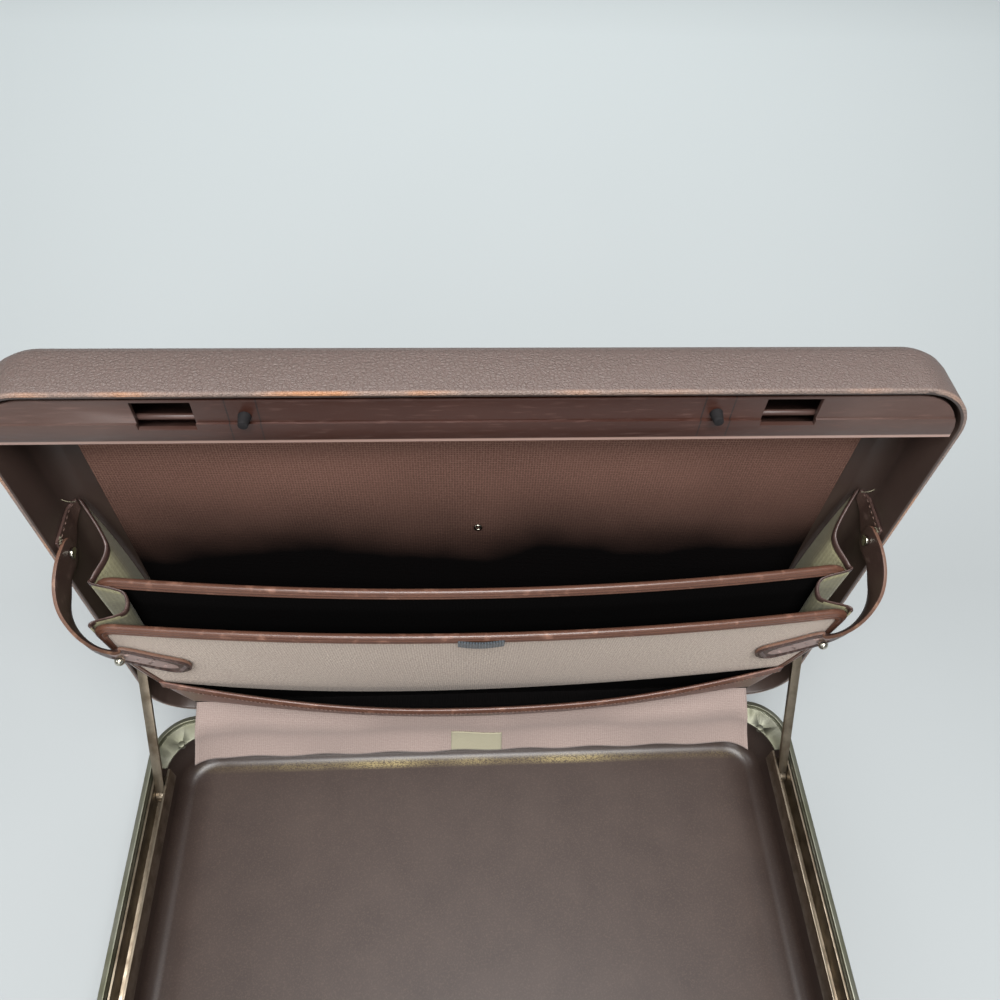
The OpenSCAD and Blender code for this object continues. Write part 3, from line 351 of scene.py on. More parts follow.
def grained_abs(name, closed_turn, centre, rim_z, up, with_dust_and_sheen=False):
    """Grained brown ABS outside, smooth dark ABS inside and a worn rim."""
    surface, place = start(name, Specular_IOR_Level=0.5)
    outside = facing_out(place, centre)
    level = axis(turned(place, closed_turn), "Z")
    grain, crease = leather_grain(place, GRAIN)
    brown = mix(spots(place, 60, 3.0), "5d504a", "695c57")
    # Painted shade: the creases of the grain are painted a little darker, towards 5c4a45.
    brown_shaded_creases = mix(between(crease, 0.0, 1.0, 0.45, 1.0), "5c4a45", brown)
    rim = between(level, (rim_z + up * WORN_BAND) * MM, (rim_z + up * 0.2) * MM)
    rubbed = between(spots(place, 50, 5.0), 0.5, 0.66)
    worn = times(rim, maths("ADD", 0.22, times(rubbed, 0.6)))
    skin = mix(worn, brown_shaded_creases, mix(rubbed, "b49d90", "b57f58"))
    inner = mix(spots(place, 30, 4.0), "362a26", "483b35")
    if with_dust_and_sheen:
        inner = dust_and_sheen(place, inner)
    return wire(surface, Base_Color=mix(outside, inner, skin),
                Roughness=between(outside, 0.0, 1.0, 0.34, 0.44), Normal=bump(times(grain, outside), 0.5))


LID_SHELL_SKIN = grained_abs("grained_abs_lid", TURN_OPEN.inverted(), in_lid(0, BACK_Y, 8), LID_RIM, 1)
BASE_SHELL_SKIN = grained_abs("grained_abs_base", Matrix.Identity(4), Vector((0, 0, 60)), RIM_Z, -1, True)
print("grain creases are about", GRAIN, "mm apart")

# %% [markdown]
# The strip along the lid's front edge, the catch bars in its slots and the cover over the locks
# are the same plastic, moulded smooth and coloured darker in the middle than at the ends. Handling
# has left fine scratches along them. The strip has a raised lip that is rubbed pale and painted
# paler still as a highlight, and two fine seams at each bumper.

# %% Smooth trim finish
STRIP_EDGE = 31 - BACK_Y
SEAM_X, SEAM_OFF = 106.5, 6.8


def smooth_abs(name, lipped):
    """Smooth brown ABS, with seams and a lip that is worn pale and has a painted highlight, where it is the
    lid's strip (lipped 1).
    """
    surface, place = start(name)
    scratches = spots(mapped(place, (0.12, 1.0, 1.0)), 1.5, 5.0)
    cloudy = spots(place, 45, 3.0)
    side = off_by(axis(place, "X"), 0.0)
    brown = mix(between(side, 0.11, 0.17), mix(cloudy, "2e160f", "3c2017"), mix(cloudy, "402f2a", "53413b"))
    closed = turned(place, TURN_OPEN.inverted())
    # The pale lip is partly wear and partly a painted highlight along its edge, towards b8988c.
    inner_edge = between(axis(closed, "Y"), (STRIP_EDGE - 2.0) * MM, (STRIP_EDGE - 1.3) * MM)
    low = between(axis(closed, "Z"), (LID_RIM + 1.2) * MM, (LID_RIM + 0.4) * MM)
    seam = off_by(off_by(side, SEAM_X * MM), SEAM_OFF * MM)
    brown = mix(between(seam, 0.0002, 0.0004, 1.0 - lipped), "1c1210", brown)
    brown = mix(between(scratches, 0.56, 0.75, 0.0, 0.35), brown, "6b5048")
    return wire(surface, Base_Color=mix(times(inner_edge, low, 0.85 * lipped), brown, "b8988c"),
                Roughness=between(scratches, 0.3, 0.7, 0.3, 0.5), Normal=bump(scratches, 0.05, 0.35))


SMOOTH_TRIM = smooth_abs("smooth_abs_strip", 1.0)
COVER_TRIM = smooth_abs("smooth_abs_cover", 0.0)
print("trim finishes:", SMOOTH_TRIM.name, COVER_TRIM.name)

# %% [markdown]
# ## The metals
# The rail is extruded aluminium with a dull anodised skin, olive grey with age. The hinges, the
# stays and the hidden lock parts are zinc-plated steel. The lock plates, the slides, the handle's
# brackets, the studs and the rivets are nickel. All of them are fully metallic, and they differ
# in colour, in roughness and in how the fine marks run.


# %% Metal finishes
def metal(name, light, dark, rough, marks, stretch, stain):
    """A metal with fine marks that run along one axis and dull patches."""
    surface, place = start(name, Metallic=1.0)
    lines = spots(mapped(place, stretch), marks, 4.0)
    dull = between(spots(place, stain, 4.0), 0.42, 0.68)
    worn = maths("ADD", lines, times(dull, 0.5))
    return wire(surface, Base_Color=mix(dull, light, dark),
                Roughness=between(worn, 0.3, 1.1, rough, rough + 0.14), Normal=bump(lines, 0.012, 0.3))


RAIL_METAL = metal("anodised_aluminium_rail", "8d8d7f", "72725f", 0.42, 0.7, (0.1, 0.1, 1), 26)
HINGE_STEEL = metal("zinc_steel_hinge", "a5a49a", "77756a", 0.34, 0.6, (1, 1, 0.15), 9)
STAY_STEEL = metal("zinc_steel_stay", "8f8474", "6b5f50", 0.38, 0.6, (1, 0.2, 0.1), 11)
LOCK_NICKEL = metal("satin_nickel_lock", "c4c0b0", "a09a86", 0.24, 0.4, (0.08, 1, 1), 20)
STUD_NICKEL = metal("polished_nickel_stud", "c9c6b8", "9a968a", 0.14, 1.5, (1, 1, 1), 5)
print("metals:", [m.name for m in (RAIL_METAL, HINGE_STEEL, STAY_STEEL, LOCK_NICKEL, STUD_NICKEL)])

# %% [markdown]
# ## Rubber, acetal, thread and the handle's vinyl
# The bumpers and feet are black rubber, dull with a fine bloom. The dials are moulded acetal, a
# warm ivory. The stitches are brown thread. The handle is covered with dark padded vinyl in a
# small grain.


# %% Rubber, dial, thread and handle finishes
def plain(name, cloud, dark, light, skin, depth, strength, **constants):
    """Soft clouds between two colours, under a fine skin. Cloud and skin are (size, detail)."""
    surface, place = start(name, **constants)
    return wire(surface, Base_Color=mix(spots(place, *cloud), dark, light),
                Normal=bump(spots(place, *skin), depth, strength))


def padded_vinyl():
    surface, place = start("padded_vinyl_handle", Roughness=0.42)
    grain, crease = leather_grain(place, 1.4)
    # Painted shade: the creases of the grain are painted darker, towards 2b1d1a.
    return wire(surface, Base_Color=mix(crease, "2b1d1a", "442f2a"), Normal=bump(grain, 0.14, 0.7))


BLACK_RUBBER = plain("black_rubber", (3, 4.0), "131213", "262425", (0.5, 3.0), 0.05, 0.5,
                     Roughness=0.8, Specular_IOR_Level=0.2)
DIAL_ACETAL = plain("acetal_dial", (4, 3.0), "cfc8b2", "ddd7c6", (0.6, 2.0), 0.02, 0.3,
                    Roughness=0.36, IOR=1.48)
THREAD_BROWN = plain("brown_sewing_thread", (1.2, 2.0), "5c4138", "7d6052", (0.5, 2.0), 0.1, 0.5,
                     Roughness=0.6, Sheen_Weight=0.3)
HANDLE_VINYL = padded_vinyl()
print("small finishes:", [m.name for m in (BLACK_RUBBER, DIAL_ACETAL, THREAD_BROWN, HANDLE_VINYL)])

# %% [markdown]
# ## The cloths
# The front panel is covered with a speckled plain weave in mauve and beige, and the hinge cloth is
# a plainer mauve. The lid is lined with a brown canvas, with painted shade that takes its lower
# half to nearly black. The gussets are olive, with painted shade on their front halves. The divider
# and the pocket's inside are near-black cloth, darkened further as painted shade. Each reads
# the piece's own UV map, which is in millimetres, so the threads follow the cloth round its bends.
# The real threads are finer than a pixel, so they are drawn about three times as coarse.

# %% Cloth finishes
THREAD = 1.5
# Painted shade on the lining: below the first height, in millimetres up its UV map, the canvas is painted
# nearly black, and the shade fades out by the second.
SHADE_FROM, SHADE_TO = 126, 218


def woven(name, colours, pitch, depth, speckle, sheen=0.12, shade_below=False, wander=2.4):
    """Plain weave: two sets of threads, a speckle from thread to thread and broad soft patches.
    Cloth without sheen is nearly without gloss too. The switch for shade below paints shade onto the cloth,
    darker downwards."""
    surface, cloth = start(name, "UV", Roughness=0.9, Sheen_Weight=sheen, Sheen_Roughness=0.5,
                           Specular_IOR_Level=0.25 if sheen else 0.04)
    weave = maths("MAXIMUM", threads(cloth, pitch, "X", wander), threads(cloth, pitch, "Y", wander))
    dark, middle, light = colours
    flecks = between(spots(cloth, pitch * 0.9, 2.0, 1.0), 0.36, 0.66)
    body = mix(times(flecks, speckle), middle, light)
    low = mix(between(weave, 0.2, 0.95, 0.3, 1.0), dark, body)
    patches = between(spots(cloth, 46, 3.0, 1.0), 0.35, 0.7, 0.0, 0.35)
    broad = mix(patches, low, middle)
    if shade_below:
        # Painted shade: below a wavering line the cloth is painted towards 0a0808, nearly black.
        waver = between(spots(cloth, 90, 3.0, 1.0), 0.3, 0.7, -10, 10)
        ragged = maths("ADD", axis(cloth, "Y"), waver)
        unshaded = maths("POWER", between(ragged, SHADE_FROM, SHADE_TO), 1.1)
        broad = mix(unshaded, "0a0808", broad)
    return wire(surface, Base_Color=broad, Normal=bump(maths("ADD", weave, flecks), depth, 0.6))


ORGANISER_CLOTH = woven("mauve_speckled_weave", ("807067", "a9978b", "d4c5b4"), THREAD, 0.2, 1.0)
HINGE_CLOTH = woven("mauve_hinge_weave", ("86756f", "9c8a83", "ac9c93"), THREAD, 0.15, 0.6)
# The lining canvas gets painted shade, nearly black in its lower half.
LINING_CANVAS = woven("brown_lining_canvas", ("46312a", "79594e", "957265"), THREAD, 0.3, 0.8, 0.0, True,
                      0.8)
GUSSET_CLOTH = woven("olive_gusset_weave", ("7d795b", "9d9775", "b7b290"), THREAD, 0.15, 0.6)
# The same olive cloth painted darker as shade, for the gussets' front halves between the boards.
GUSSET_PAINTED_SHADE = woven("olive_gusset_weave_painted_shade", ("5a5741", "726e54", "868268"), THREAD, 0.15, 0.6)
LABEL_CLOTH = woven("cream_label_weave", ("979177", "a39d86", "a8a492"), 0.8, 0.06, 0.4)
# Near-black cloth, painted darker still to nearly pure black as shade: the divider, the pocket's inside and
# the painted shadow behind its mouth.
DARK_CLOTH_AND_SHADE = woven("dark_weave_and_painted_shade", ("050404", "090808", "0e0c0c"), 2.0, 0.15, 0.5, 0.0)
print("cloths:", THREAD, "mm threads")

# %% [markdown]
# The bound edges, the pocket, the tabs and the straps are brown embossed vinyl with a soft gloss.
# It is drawn with a small pebble grain, with painted shade darkening the creases, and paler rubbed
# patches. The elastic loop has a rib every 1.6 millimetres.


# %% Vinyl and elastic finishes
def vinyl(name, dark, light, rubbed, rough=0.38):
    """Embossed vinyl or leather, which goes from dark to light and is paler where it is rubbed."""
    surface, place = start(name, Roughness=rough)
    grain, crease = leather_grain(place, 1.1)
    brown = mix(spots(place, 24, 4.0), dark, light)
    wear = between(spots(place, 7, 5.0), 0.58, 0.74, 0.0, 0.6)
    # Painted shade: the creases of the grain are painted with the dark colour.
    return wire(surface, Base_Color=mix(wear, mix(crease, dark, brown), rubbed),
                Normal=bump(grain, 0.07, 0.5))


def ribbed_elastic():
    surface, cloth = start("ribbed_elastic", "UV", Roughness=0.8, Sheen_Weight=0.2)
    rib = threads(cloth, 1.6, "X", 0.0)
    cross = times(threads(cloth, 1.2, "Y", 0.3), 0.3)
    return wire(surface, Base_Color=mix(rib, "1d2124", "454d54"), Normal=bump(maths("ADD", rib, cross), 0.4))


BINDING_VINYL = vinyl("embossed_binding_vinyl", "4f342a", "6d4a39", "926c5a", 0.3)
STRAP_VINYL = vinyl("embossed_strap_vinyl", "3f2e2a", "554039", "76605a")
POCKET_VINYL = vinyl("soft_pocket_vinyl", "5f4138", "7b5449", "95705f")
CUT_EDGE = vinyl("raw_leather_edge", "5a4034", "7a5845", "a07c62", 0.5)
PATCH_VINYL = vinyl("smooth_patch_vinyl", "8a756f", "978079", "a48e87", 0.45)
ELASTIC = ribbed_elastic()
print("vinyls:", [m.name for m in (BINDING_VINYL, STRAP_VINYL, POCKET_VINYL, CUT_EDGE, PATCH_VINYL)])

# %% [markdown]
# ## The rigid parts
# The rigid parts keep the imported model's meshes. A weld joins their loose triangles, a small bevel
# breaks their sharp edges, as a mould or a press does, and smooth shading then shows flat faces
# flat and round ones round. A star in the table stands for left and right.

# %% Finish and bevel in millimetres for each rigid node
FINISHES = (
    (BASE_SHELL_SKIN, 0.5, "base_shell"),
    (LID_SHELL_SKIN, 0.5, "lid_shell"),
    (SMOOTH_TRIM, 0.4, "lid_front_strip"),
    (COVER_TRIM, 0.4, "lock_cover"),
    (COVER_TRIM, 0.2, "catch_bars"),
    (RAIL_METAL, 0.3, "base_rail rail_rivets"),
    (HINGE_STEEL, 0.1, "hinge_pins latch_springs dial_axles"),
    (HINGE_STEEL, 0.2, "hinge_base_leaves hinge_lid_leaves lock_case_* latch_pins"),
    (HINGE_STEEL, 0.4, "latch_hook_*"),
    (STAY_STEEL, 0.2, "stay_guide_*"),
    (STAY_STEEL, 0.4, "stay_arm_*"),
    (LOCK_NICKEL, 0.5, "lock_plate_* lock_slide_* handle_bracket_*"),
    (STUD_NICKEL, 0.2, "strap_studs"),
    (STUD_NICKEL, 0.3, "handle_pins lining_eyelet"),
    (STUD_NICKEL, 0.4, "stay_rivets"),
    (STUD_NICKEL, 0.6, "anchor_rivets"),
    (HANDLE_VINYL, 0.6, "handle_grip"),
    (BLACK_RUBBER, 0.4, "base_feet lid_feet lid_bumpers"),
    (DIAL_ACETAL, 0.5, "dial_*_1 dial_*_2 dial_*_3"),
    (DARK_CLOTH_AND_SHADE, 0.2, "organiser_mount"),
)
RIGID = {name.replace("*", word): (material, bevel) for material, bevel, names in FINISHES
         for name in names.split() for side, word in SIDES}
SHARP = 32


def round_edges(piece, width, angle):
    """Rounds the edges that are sharper than an angle in degrees."""
    bevel = piece.modifiers.new("rounded_edges", "BEVEL")
    bevel.width = width * MM
    bevel.segments = 2
    bevel.limit_method = "ANGLE"
    bevel.angle_limit = radians(angle)
    return bevel


for name, (material, bevel) in RIGID.items():
    node = frame["nodes"][name]
    node.data.materials.clear()
    node.data.materials.append(material)
    node.data.polygons.foreach_set("use_smooth", [True] * len(node.data.polygons))
    node.modifiers.new("weld", "WELD").merge_threshold = 0.01 * MM
    round_edges(node, bevel, SHARP).harden_normals = True
print(len(RIGID), "rigid nodes have a finish")

# %% [markdown]
# ## Making soft pieces
# A soft piece starts as a flat grid. Each of its points has two shares, across and along, and a
# function puts it in its place. The UV map stays that of the flat cut, in millimetres, as if the
# cloth lay on the cutting table. Solidify then gives the cloth its thickness.


# %% Sheet helpers
def make(maker, name, material):
    """Turns a bmesh in millimetres into an object in metres with smooth shading."""
    bmesh.ops.scale(maker, vec=(MM, MM, MM), verts=maker.verts)
    mesh = bpy.data.meshes.new(name)
    maker.to_mesh(mesh)
    maker.free()
    mesh.materials.append(material)
    mesh.polygons.foreach_set("use_smooth", [True] * len(mesh.polygons))
    piece = bpy.data.objects.new(name, mesh)
    bpy.context.scene.collection.objects.link(piece)
    return piece


def cut_sheet(name, material, columns, rows, cut, place):
    """A sheet cut to a width and length, each point placed by its shares across and along."""
    maker = bmesh.new()
    flat = maker.loops.layers.uv.new("UVMap")
    bmesh.ops.create_grid(maker, x_segments=columns, y_segments=rows, size=0.5)
    for face in maker.faces:
        for corner in face.loops:
            corner[flat].uv = ((corner.vert.co.x + 0.5) * cut[0], (corner.vert.co.y + 0.5) * cut[1])
    for point in maker.verts:
        point.co = place(point.co.x + 0.5, point.co.y + 0.5)
    return make(maker, name, material)


def thicken(piece, thickness, bevel=0.0):
    """Gives a sheet its thickness, and rounds the cut edges where a bevel is given."""
    wall = piece.modifiers.new("thickness", "SOLIDIFY")
    wall.thickness = thickness * MM
    wall.offset = 0
    if bevel:
        round_edges(piece, bevel, 50)
    return piece


def settle(piece, body, node=None, bend=None):
    """A piece that rides on a body, with its node hidden where one is given. Where bend is given, its place
    is only baked into its mesh, and it rides on no body.
    """
    if node:
        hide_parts(node)
    if bend:
        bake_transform(piece)
    else:
        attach(piece, body)


print("sheet helpers are ready")

# %% [markdown]
# Lines on the case, such as the bound edges, the straps and the rows of stitches, are given by a
# few chosen points. A curve is drawn smoothly through them and then divided into equal steps.


# %% Line helpers
def curve_at(a, b, c, d, t):
    """A place between b (t = 0) and c (t = 1) on the smooth curve through four places."""
    return 0.5 * (2 * b + (c - a) * t + (2 * a - 5 * b + 4 * c - d) * t ** 2
                  + (3 * b - a - 3 * c + d) * t ** 3)


def smooth_line(points, steps=8):
    """A smooth curve through the given points."""
    ends = [points[0] * 2 - points[1]] + list(points) + [points[-1] * 2 - points[-2]]
    spans = zip(ends, ends[1:], ends[2:], ends[3:])
    return [curve_at(*span, i / steps) for span in spans for i in range(steps)] + [points[-1]]


def equal_steps(line, count):
    """The line divided into count equal steps."""
    lengths = [0.0]
    for a, b in zip(line, line[1:]):
        lengths.append(lengths[-1] + (b - a).length)
    places, k = [], 0
    for i in range(count + 1):
        want = lengths[-1] * i / count
        while k < len(line) - 2 and lengths[k + 1] < want:
            k += 1
        span = lengths[k + 1] - lengths[k]
        places.append(line[k].lerp(line[k + 1], (want - lengths[k]) / span if span else 0))
    return places


def line_length(line):
    return sum((b - a).length for a, b in zip(line, line[1:]))


def stitches(name, rows, out, pitch=3.4, length=2.4, width=0.55, proud=0.28):
    """Stitches along rows; out gives the direction that the surface faces at a place."""
    maker = bmesh.new()
    for row in rows:
        count = max(int(line_length(row) / pitch), 1)
        places = equal_steps(row, count * 2)
        for i in range(1, count * 2, 2):
            along = (places[i + 1] - places[i - 1]).normalized()
            face = out(places[i])
            side = face.cross(along).normalized()
            turn = Matrix((along * length / 2, side * width / 2, face * proud)).transposed().to_4x4()
            bmesh.ops.create_uvsphere(maker, u_segments=6, v_segments=4, radius=1.0,
                                      matrix=Matrix.Translation(places[i]) @ turn)
    return make(maker, name, THREAD_BROWN)


print("line helpers are ready")

# %% [markdown]
# ## The organiser's boards
# The file organiser hangs in the lid: a divider and a front panel, hinged in a hem near the
# lid's rear edge. Both are stiff boards in cloth. They are narrower at the foot, with rounded upper
# corners, and bowed forward in the middle by what the organiser has carried. The hem lies ORG_U in
# front of the lid's rear wall and ORG_DROP below its rim, when closed, and heights s run from it.

# %% Organiser sizes and places
PANEL_HALF = SIDE_X - 16.5
FOOT_HALF = SIDE_X - 36
WIDE_AT = 110
ORG_U, ORG_DROP = 30, 6
PANEL_L, DIVIDER_L = 134, 150
PANEL_T = 2.4
BOW = 11
PITCH = 10.6
LEAN = 8
CORNER = 12
PANEL_FOOT, DIVIDER_FOOT = 2.8, -1.2
DIVIDER_INSET = 2
ON_FRONT = (0, LEAN, "front_panel", 0)
ON_DIVIDER = (PITCH, LEAN / 2, "divider", DIVIDER_INSET)


def half_at(s):
    """Half the width of the boards at a height above the hem."""
    return FOOT_HALF + (PANEL_HALF - FOOT_HALF) * sin(pi / 2 * min(max(s / WIDE_AT, 0), 1))


def bow(x, s):
    """How far a board is bowed forward, most in the middle of its top edge."""
    return -BOW * (1 - (x / half_at(s)) ** 2) * max(s, 0) / PANEL_L


def leaning(x, s, w, lean):
    """Lid distances of a place on a leaning board: across, above the hem, behind its middle."""
    a = radians(lean)
    return (x, ORG_U + s * cos(a) + w * sin(a), -ORG_DROP - s * sin(a) + w * cos(a))


def on_board(x, s, w, lean):
    """That place in the open case."""
    return in_lid(*leaning(x, s, w, lean))


def board_out(lean):
    """The direction that the front of a leaning board faces."""
    return (on_board(0, 0, -1, lean) - on_board(0, 0, 0, lean)).normalized()


def corner_cut(s, top):
    """How much narrower a board is at its rounded upper corners."""
    rise = max(s - (top - CORNER), 0)
    return CORNER - sqrt(max(CORNER ** 2 - rise ** 2, 0))


def board(name, node, material, foot, top, w, lean, body, inset):
    """One bowed board, covered in cloth, and narrower by inset at each side."""
    def place(p, q):
        s = foot + (top - foot) * (1 - (1 - q) ** 1.6)
        x = (half_at(s) - inset - corner_cut(s, top)) * (2 * p - 1)
        return on_board(x, s, w + bow(x, s), lean)
    piece = cut_sheet(name, material, 96, 28, (2 * PANEL_HALF, top - foot), place)
    settle(thicken(piece, PANEL_T, 0.5), body, node)


board("organiser_front", "front_panel", ORGANISER_CLOTH, PANEL_FOOT, PANEL_L, *ON_FRONT)
board("organiser_divider", "divider_panel", DARK_CLOTH_AND_SHADE, DIVIDER_FOOT, DIVIDER_L, *ON_DIVIDER)
print("front panel", round(2 * PANEL_HALF), "mm wide and", PANEL_L, "mm high")

# %% [markdown]
# ## The bound edges
# A strip of vinyl is folded over each board's edge and stitched through. On the panel it runs up
# one side, round the corner, along the top and down the other side, and on the divider it binds
# the top and the corners. The strip is a sheet whose second share goes from the front leg over
# the edge to the back leg.

# %% Bound edges
BINDING_H, SIDE_H = 5.2, 3.4
EDGE_STEPS = 260
LEG = 0.35
PUFF = 0.75


def edge_line(top, foot, inset):
    """The board's edge from one foot round the top to the other foot, as places (x, s)."""
    heights = [foot + (top - CORNER - foot) * i / 30 for i in range(31)]
    side = [Vector((inset - half_at(s), s)) for s in heights]
    turn = [Vector((inset - PANEL_HALF + CORNER * (1 - cos(a)), top - CORNER * (1 - sin(a))))
            for a in (pi / 2 * i / 12 for i in range(1, 13))]
    left = side + turn
    return left + [Vector((-p.x, p.y)) for p in reversed(left)]


def bound_edge(name, node, top, foot, w, lean, body, inset):
    """The folded strip on one board, with two puffed ridges and, at the top, stitches between."""
    line = equal_steps(edge_line(top, foot, inset), EDGE_STEPS)
    reach = PANEL_T / 2 + 0.4

    def place_at(i, inward, off):
        before, after = line[max(i - 1, 0)], line[min(i + 1, EDGE_STEPS)]
        way = (after - before).normalized()
        spot = line[i] + Vector((way.y, -way.x)) * inward
        return on_board(spot.x, spot.y, w + off + bow(spot.x, spot.y), lean)

    def place(p, q):
        i = round(p * EDGE_STEPS)
        down = min(max((top - line[i].y) / 26 - 0.5, 0), 1)
        height = BINDING_H + (SIDE_H - BINDING_H) * down
        if q < LEG:
            row = sin(4 * pi * q / LEG - pi / 2) * 0.5 + 0.5
            return place_at(i, height * (1 - q / LEG), -reach - PUFF * row * (1 - 0.6 * down))
        if q > 1 - LEG:
            return place_at(i, height * (q - 1 + LEG) / LEG, reach)
        a = pi * (q - LEG) / (1 - 2 * LEG)
        return place_at(i, -reach * sin(a) * 0.9, -reach * cos(a))

    piece = cut_sheet(name, BINDING_VINYL, EDGE_STEPS, 40, (line_length(line), 2 * BINDING_H), place)
    settle(thicken(piece, 0.7), body, node)
    face = board_out(lean)
    row = [place_at(i, BINDING_H / 2, -reach - 0.35) for i in range(len(line)) if line[i].y > top - 16]
    settle(stitches(name + "_stitches", [row], lambda spot: face, 2.6, 1.9, 0.45), body)


bound_edge("front_bound_edge", "front_binding", PANEL_L, 10, *ON_FRONT)
bound_edge("divider_bound_edge", "divider_binding", DIVIDER_L, DIVIDER_L - 14, *ON_DIVIDER)
print("bound edges:", BINDING_H, "mm high")

# %% [markdown]
# ## The slash pocket
# Across the lower half of the front panel lies a pocket of soft vinyl. Its mouth gapes in the
# middle, its sides are sewn into the panel's bound edges, and its lower edge is full and rounded.
# A rolled hem stiffens the mouth.

# %% Slash pocket
POCKET_SIDE, POCKET_MID, POCKET_BULGE = 45, 35, 18
POCKET_COLUMNS = 110


def pocket_top(k):
    return POCKET_MID + (POCKET_SIDE - POCKET_MID) * k * k


def pocket_place(k, q, off=0.0):
    """A place on the pocket: k across from -1 to 1, q from its mouth (0) to its foot (1)."""
    top = pocket_top(k) + 1.6 * sin(7 * k + 1.2) * (1 - k * k)
    s = top + (PANEL_FOOT + 1 - top) * q
    x = (half_at(s) - 1) * k
    full = 0.3 + POCKET_BULGE * (1 - k * k) * sqrt(max(1 - q ** 6, 0))
    return on_board(x, s, bow(x, s) - PANEL_T / 2 - full - 0.7 - off, LEAN)


def hem_place(p, q):
    """A place on the rolled hem, which goes over the mouth from its front to its back."""
    return pocket_place(2 * p - 1, abs(q - 0.5) * 0.24 - 0.012 * (q - 0.5) ** 2, (0.5 - q) * 3.6)


def mouth_shadow_place(p, q):
    """A place on the near-black sheet behind the pocket's mouth, which is a painted shadow on the panel."""
    k = 2 * p - 1
    s = PANEL_FOOT + q * (pocket_top(k) - 2 - PANEL_FOOT - 20 * (1 - k * k) * (1 - 0.5 * k))
    x = (half_at(s) - 3.5) * k
    return on_board(x, s, bow(x, s) - PANEL_T / 2 - 0.25, LEAN)


def slash_pocket():
    """The pocket with near-black cloth inside as painted shade, its hem, its stitches and a near-black sheet
    behind its mouth as painted shadow.
    """
    piece = cut_sheet("slash_pocket", DARK_CLOTH_AND_SHADE, POCKET_COLUMNS, 22, (2 * PANEL_HALF, POCKET_SIDE),
                      lambda p, q: pocket_place(2 * p - 1, q))
    piece.data.materials.append(POCKET_VINYL)
    wall = thicken(piece, 1.3, 0.3).modifiers["thickness"]
    wall.material_offset = 1
    wall.material_offset_rim = 1
    settle(piece, "front_panel", "front_pocket")
    hem = cut_sheet("pocket_hem", BINDING_VINYL, POCKET_COLUMNS, 10, (2 * PANEL_HALF, 6), hem_place)
    settle(thicken(hem, 0.6), "front_panel")
    row = [pocket_place(2 * i / POCKET_COLUMNS - 1, 0.1, 2.1) for i in range(POCKET_COLUMNS + 1)]
    thread = stitches("pocket_stitches", [row], lambda spot: board_out(LEAN), 2.8, 1.9, 0.4, 0.2)
    settle(thread, "front_panel")
    # A painted shadow: a near-black sheet on the panel behind the pocket's mouth.
    inside = cut_sheet("pocket_mouth_shadow", DARK_CLOTH_AND_SHADE, 80, 12, (2 * PANEL_HALF, POCKET_SIDE), mouth_shadow_place)
    settle(inside, "front_panel")


slash_pocket()
print("pocket mouth", POCKET_MID, "mm above the hem in the middle")

# %% [markdown]
# ## The elastic loop
# A short loop of ribbed elastic, sewn under the middle of the front panel's bound edge, holds a
# pen. It is a narrow sheet that bows out a little between its two ends.

# %% Elastic loop
ELASTIC_W, ELASTIC_H = 26, 9


def elastic_place(p, q):
    x = ELASTIC_W * (p - 0.5)
    s = PANEL_L - BINDING_H - 1.4 + ELASTIC_H * (q - 0.35)
    lift = 1.5 + 1.2 * sin(pi * p)
    return on_board(x, s, bow(x, s) - PANEL_T / 2 - lift, LEAN)


elastic = cut_sheet("elastic_loop", ELASTIC, 26, 8, (ELASTIC_W, ELASTIC_H), elastic_place)
settle(thicken(elastic, 1.2, 0.2), "front_panel", "elastic_tab")
print("elastic loop", ELASTIC_W, "by", ELASTIC_H, "mm")

# %% [markdown]
# ## The gussets
# Olive cloth closes the organiser's sides. It starts on the lining's edge, folds inward, passes
# round the divider's edge, folds inward again and ends on the front panel's edge, so that the
# pockets can open like an accordion. It is made in two halves that meet at the divider, because
# the divider turns half as far as the panel. Its upper edge is bound with vinyl.

# %% Gusset folds
GUSSET_FOLD, GUSSET_T = 9, 0.9
GUSSET_CUT = (35, 190)
EDGE_H = 5
LINING_HALF = SIDE_X - 23
TAB_U = 204
FLOOR_U = ORG_U - 12
LINING_V = 33.3
AT_DIVIDER = 3 / 7
REACH = PANEL_T / 2 + 1.3


def beside(s, w, lean, inset):
    """Lid distances of a place just outside a board's edge."""
    return Vector(leaning(half_at(s) - inset + 0.9, s, w, lean))


def gusset_folds(t):
    """The fold lines of a gusset at a share t of its height, from the lining to the front panel."""
    wide = SIDE_X - WALL - 6.5 - LINING_HALF - GUSSET_T
    back = Vector((LINING_HALF + GUSSET_T + wide * t ** 3, FLOOR_U + 2 + (TAB_U - FLOOR_U - 3) * t,
                   LINING_V - 0.5 - 1.3 * t))
    up_divider = DIVIDER_FOOT + 1 + (DIVIDER_L - DIVIDER_FOOT - 2) * t
    up_panel = PANEL_FOOT + (PANEL_L - PANEL_FOOT - 1) * t
    far = beside(up_divider, PITCH + REACH - 0.4, LEAN / 2, DIVIDER_INSET)
    near = beside(up_divider, PITCH - REACH + 0.4, LEAN / 2, DIVIDER_INSET)
    first, last = beside(up_panel, REACH, LEAN, 0.4), beside(up_panel, -1, LEAN, 0.4)
    inward = Vector((GUSSET_FOLD * sqrt(t), 0, 0))
    deep = inward * 1.9
    return [back, back.lerp(far, 0.6) - inward * 1.1, far, near, near.lerp(first, 0.25) - deep,
            near.lerp(first, 0.75) - deep, first, last]


def gusset_place(side, p, t):
    """A place on a gusset: p from the lining (0) to the front panel (1), t up from the floor."""
    folds = gusset_folds(t)
    k = min(int(p * 7), 6)
    share = p * 7 - k
    curve = curve_at(folds[max(k - 1, 0)], folds[k], folds[k + 1], folds[min(k + 2, 7)], share)
    return at_side(side, folds[k].lerp(folds[k + 1], share).lerp(curve, 0.85))


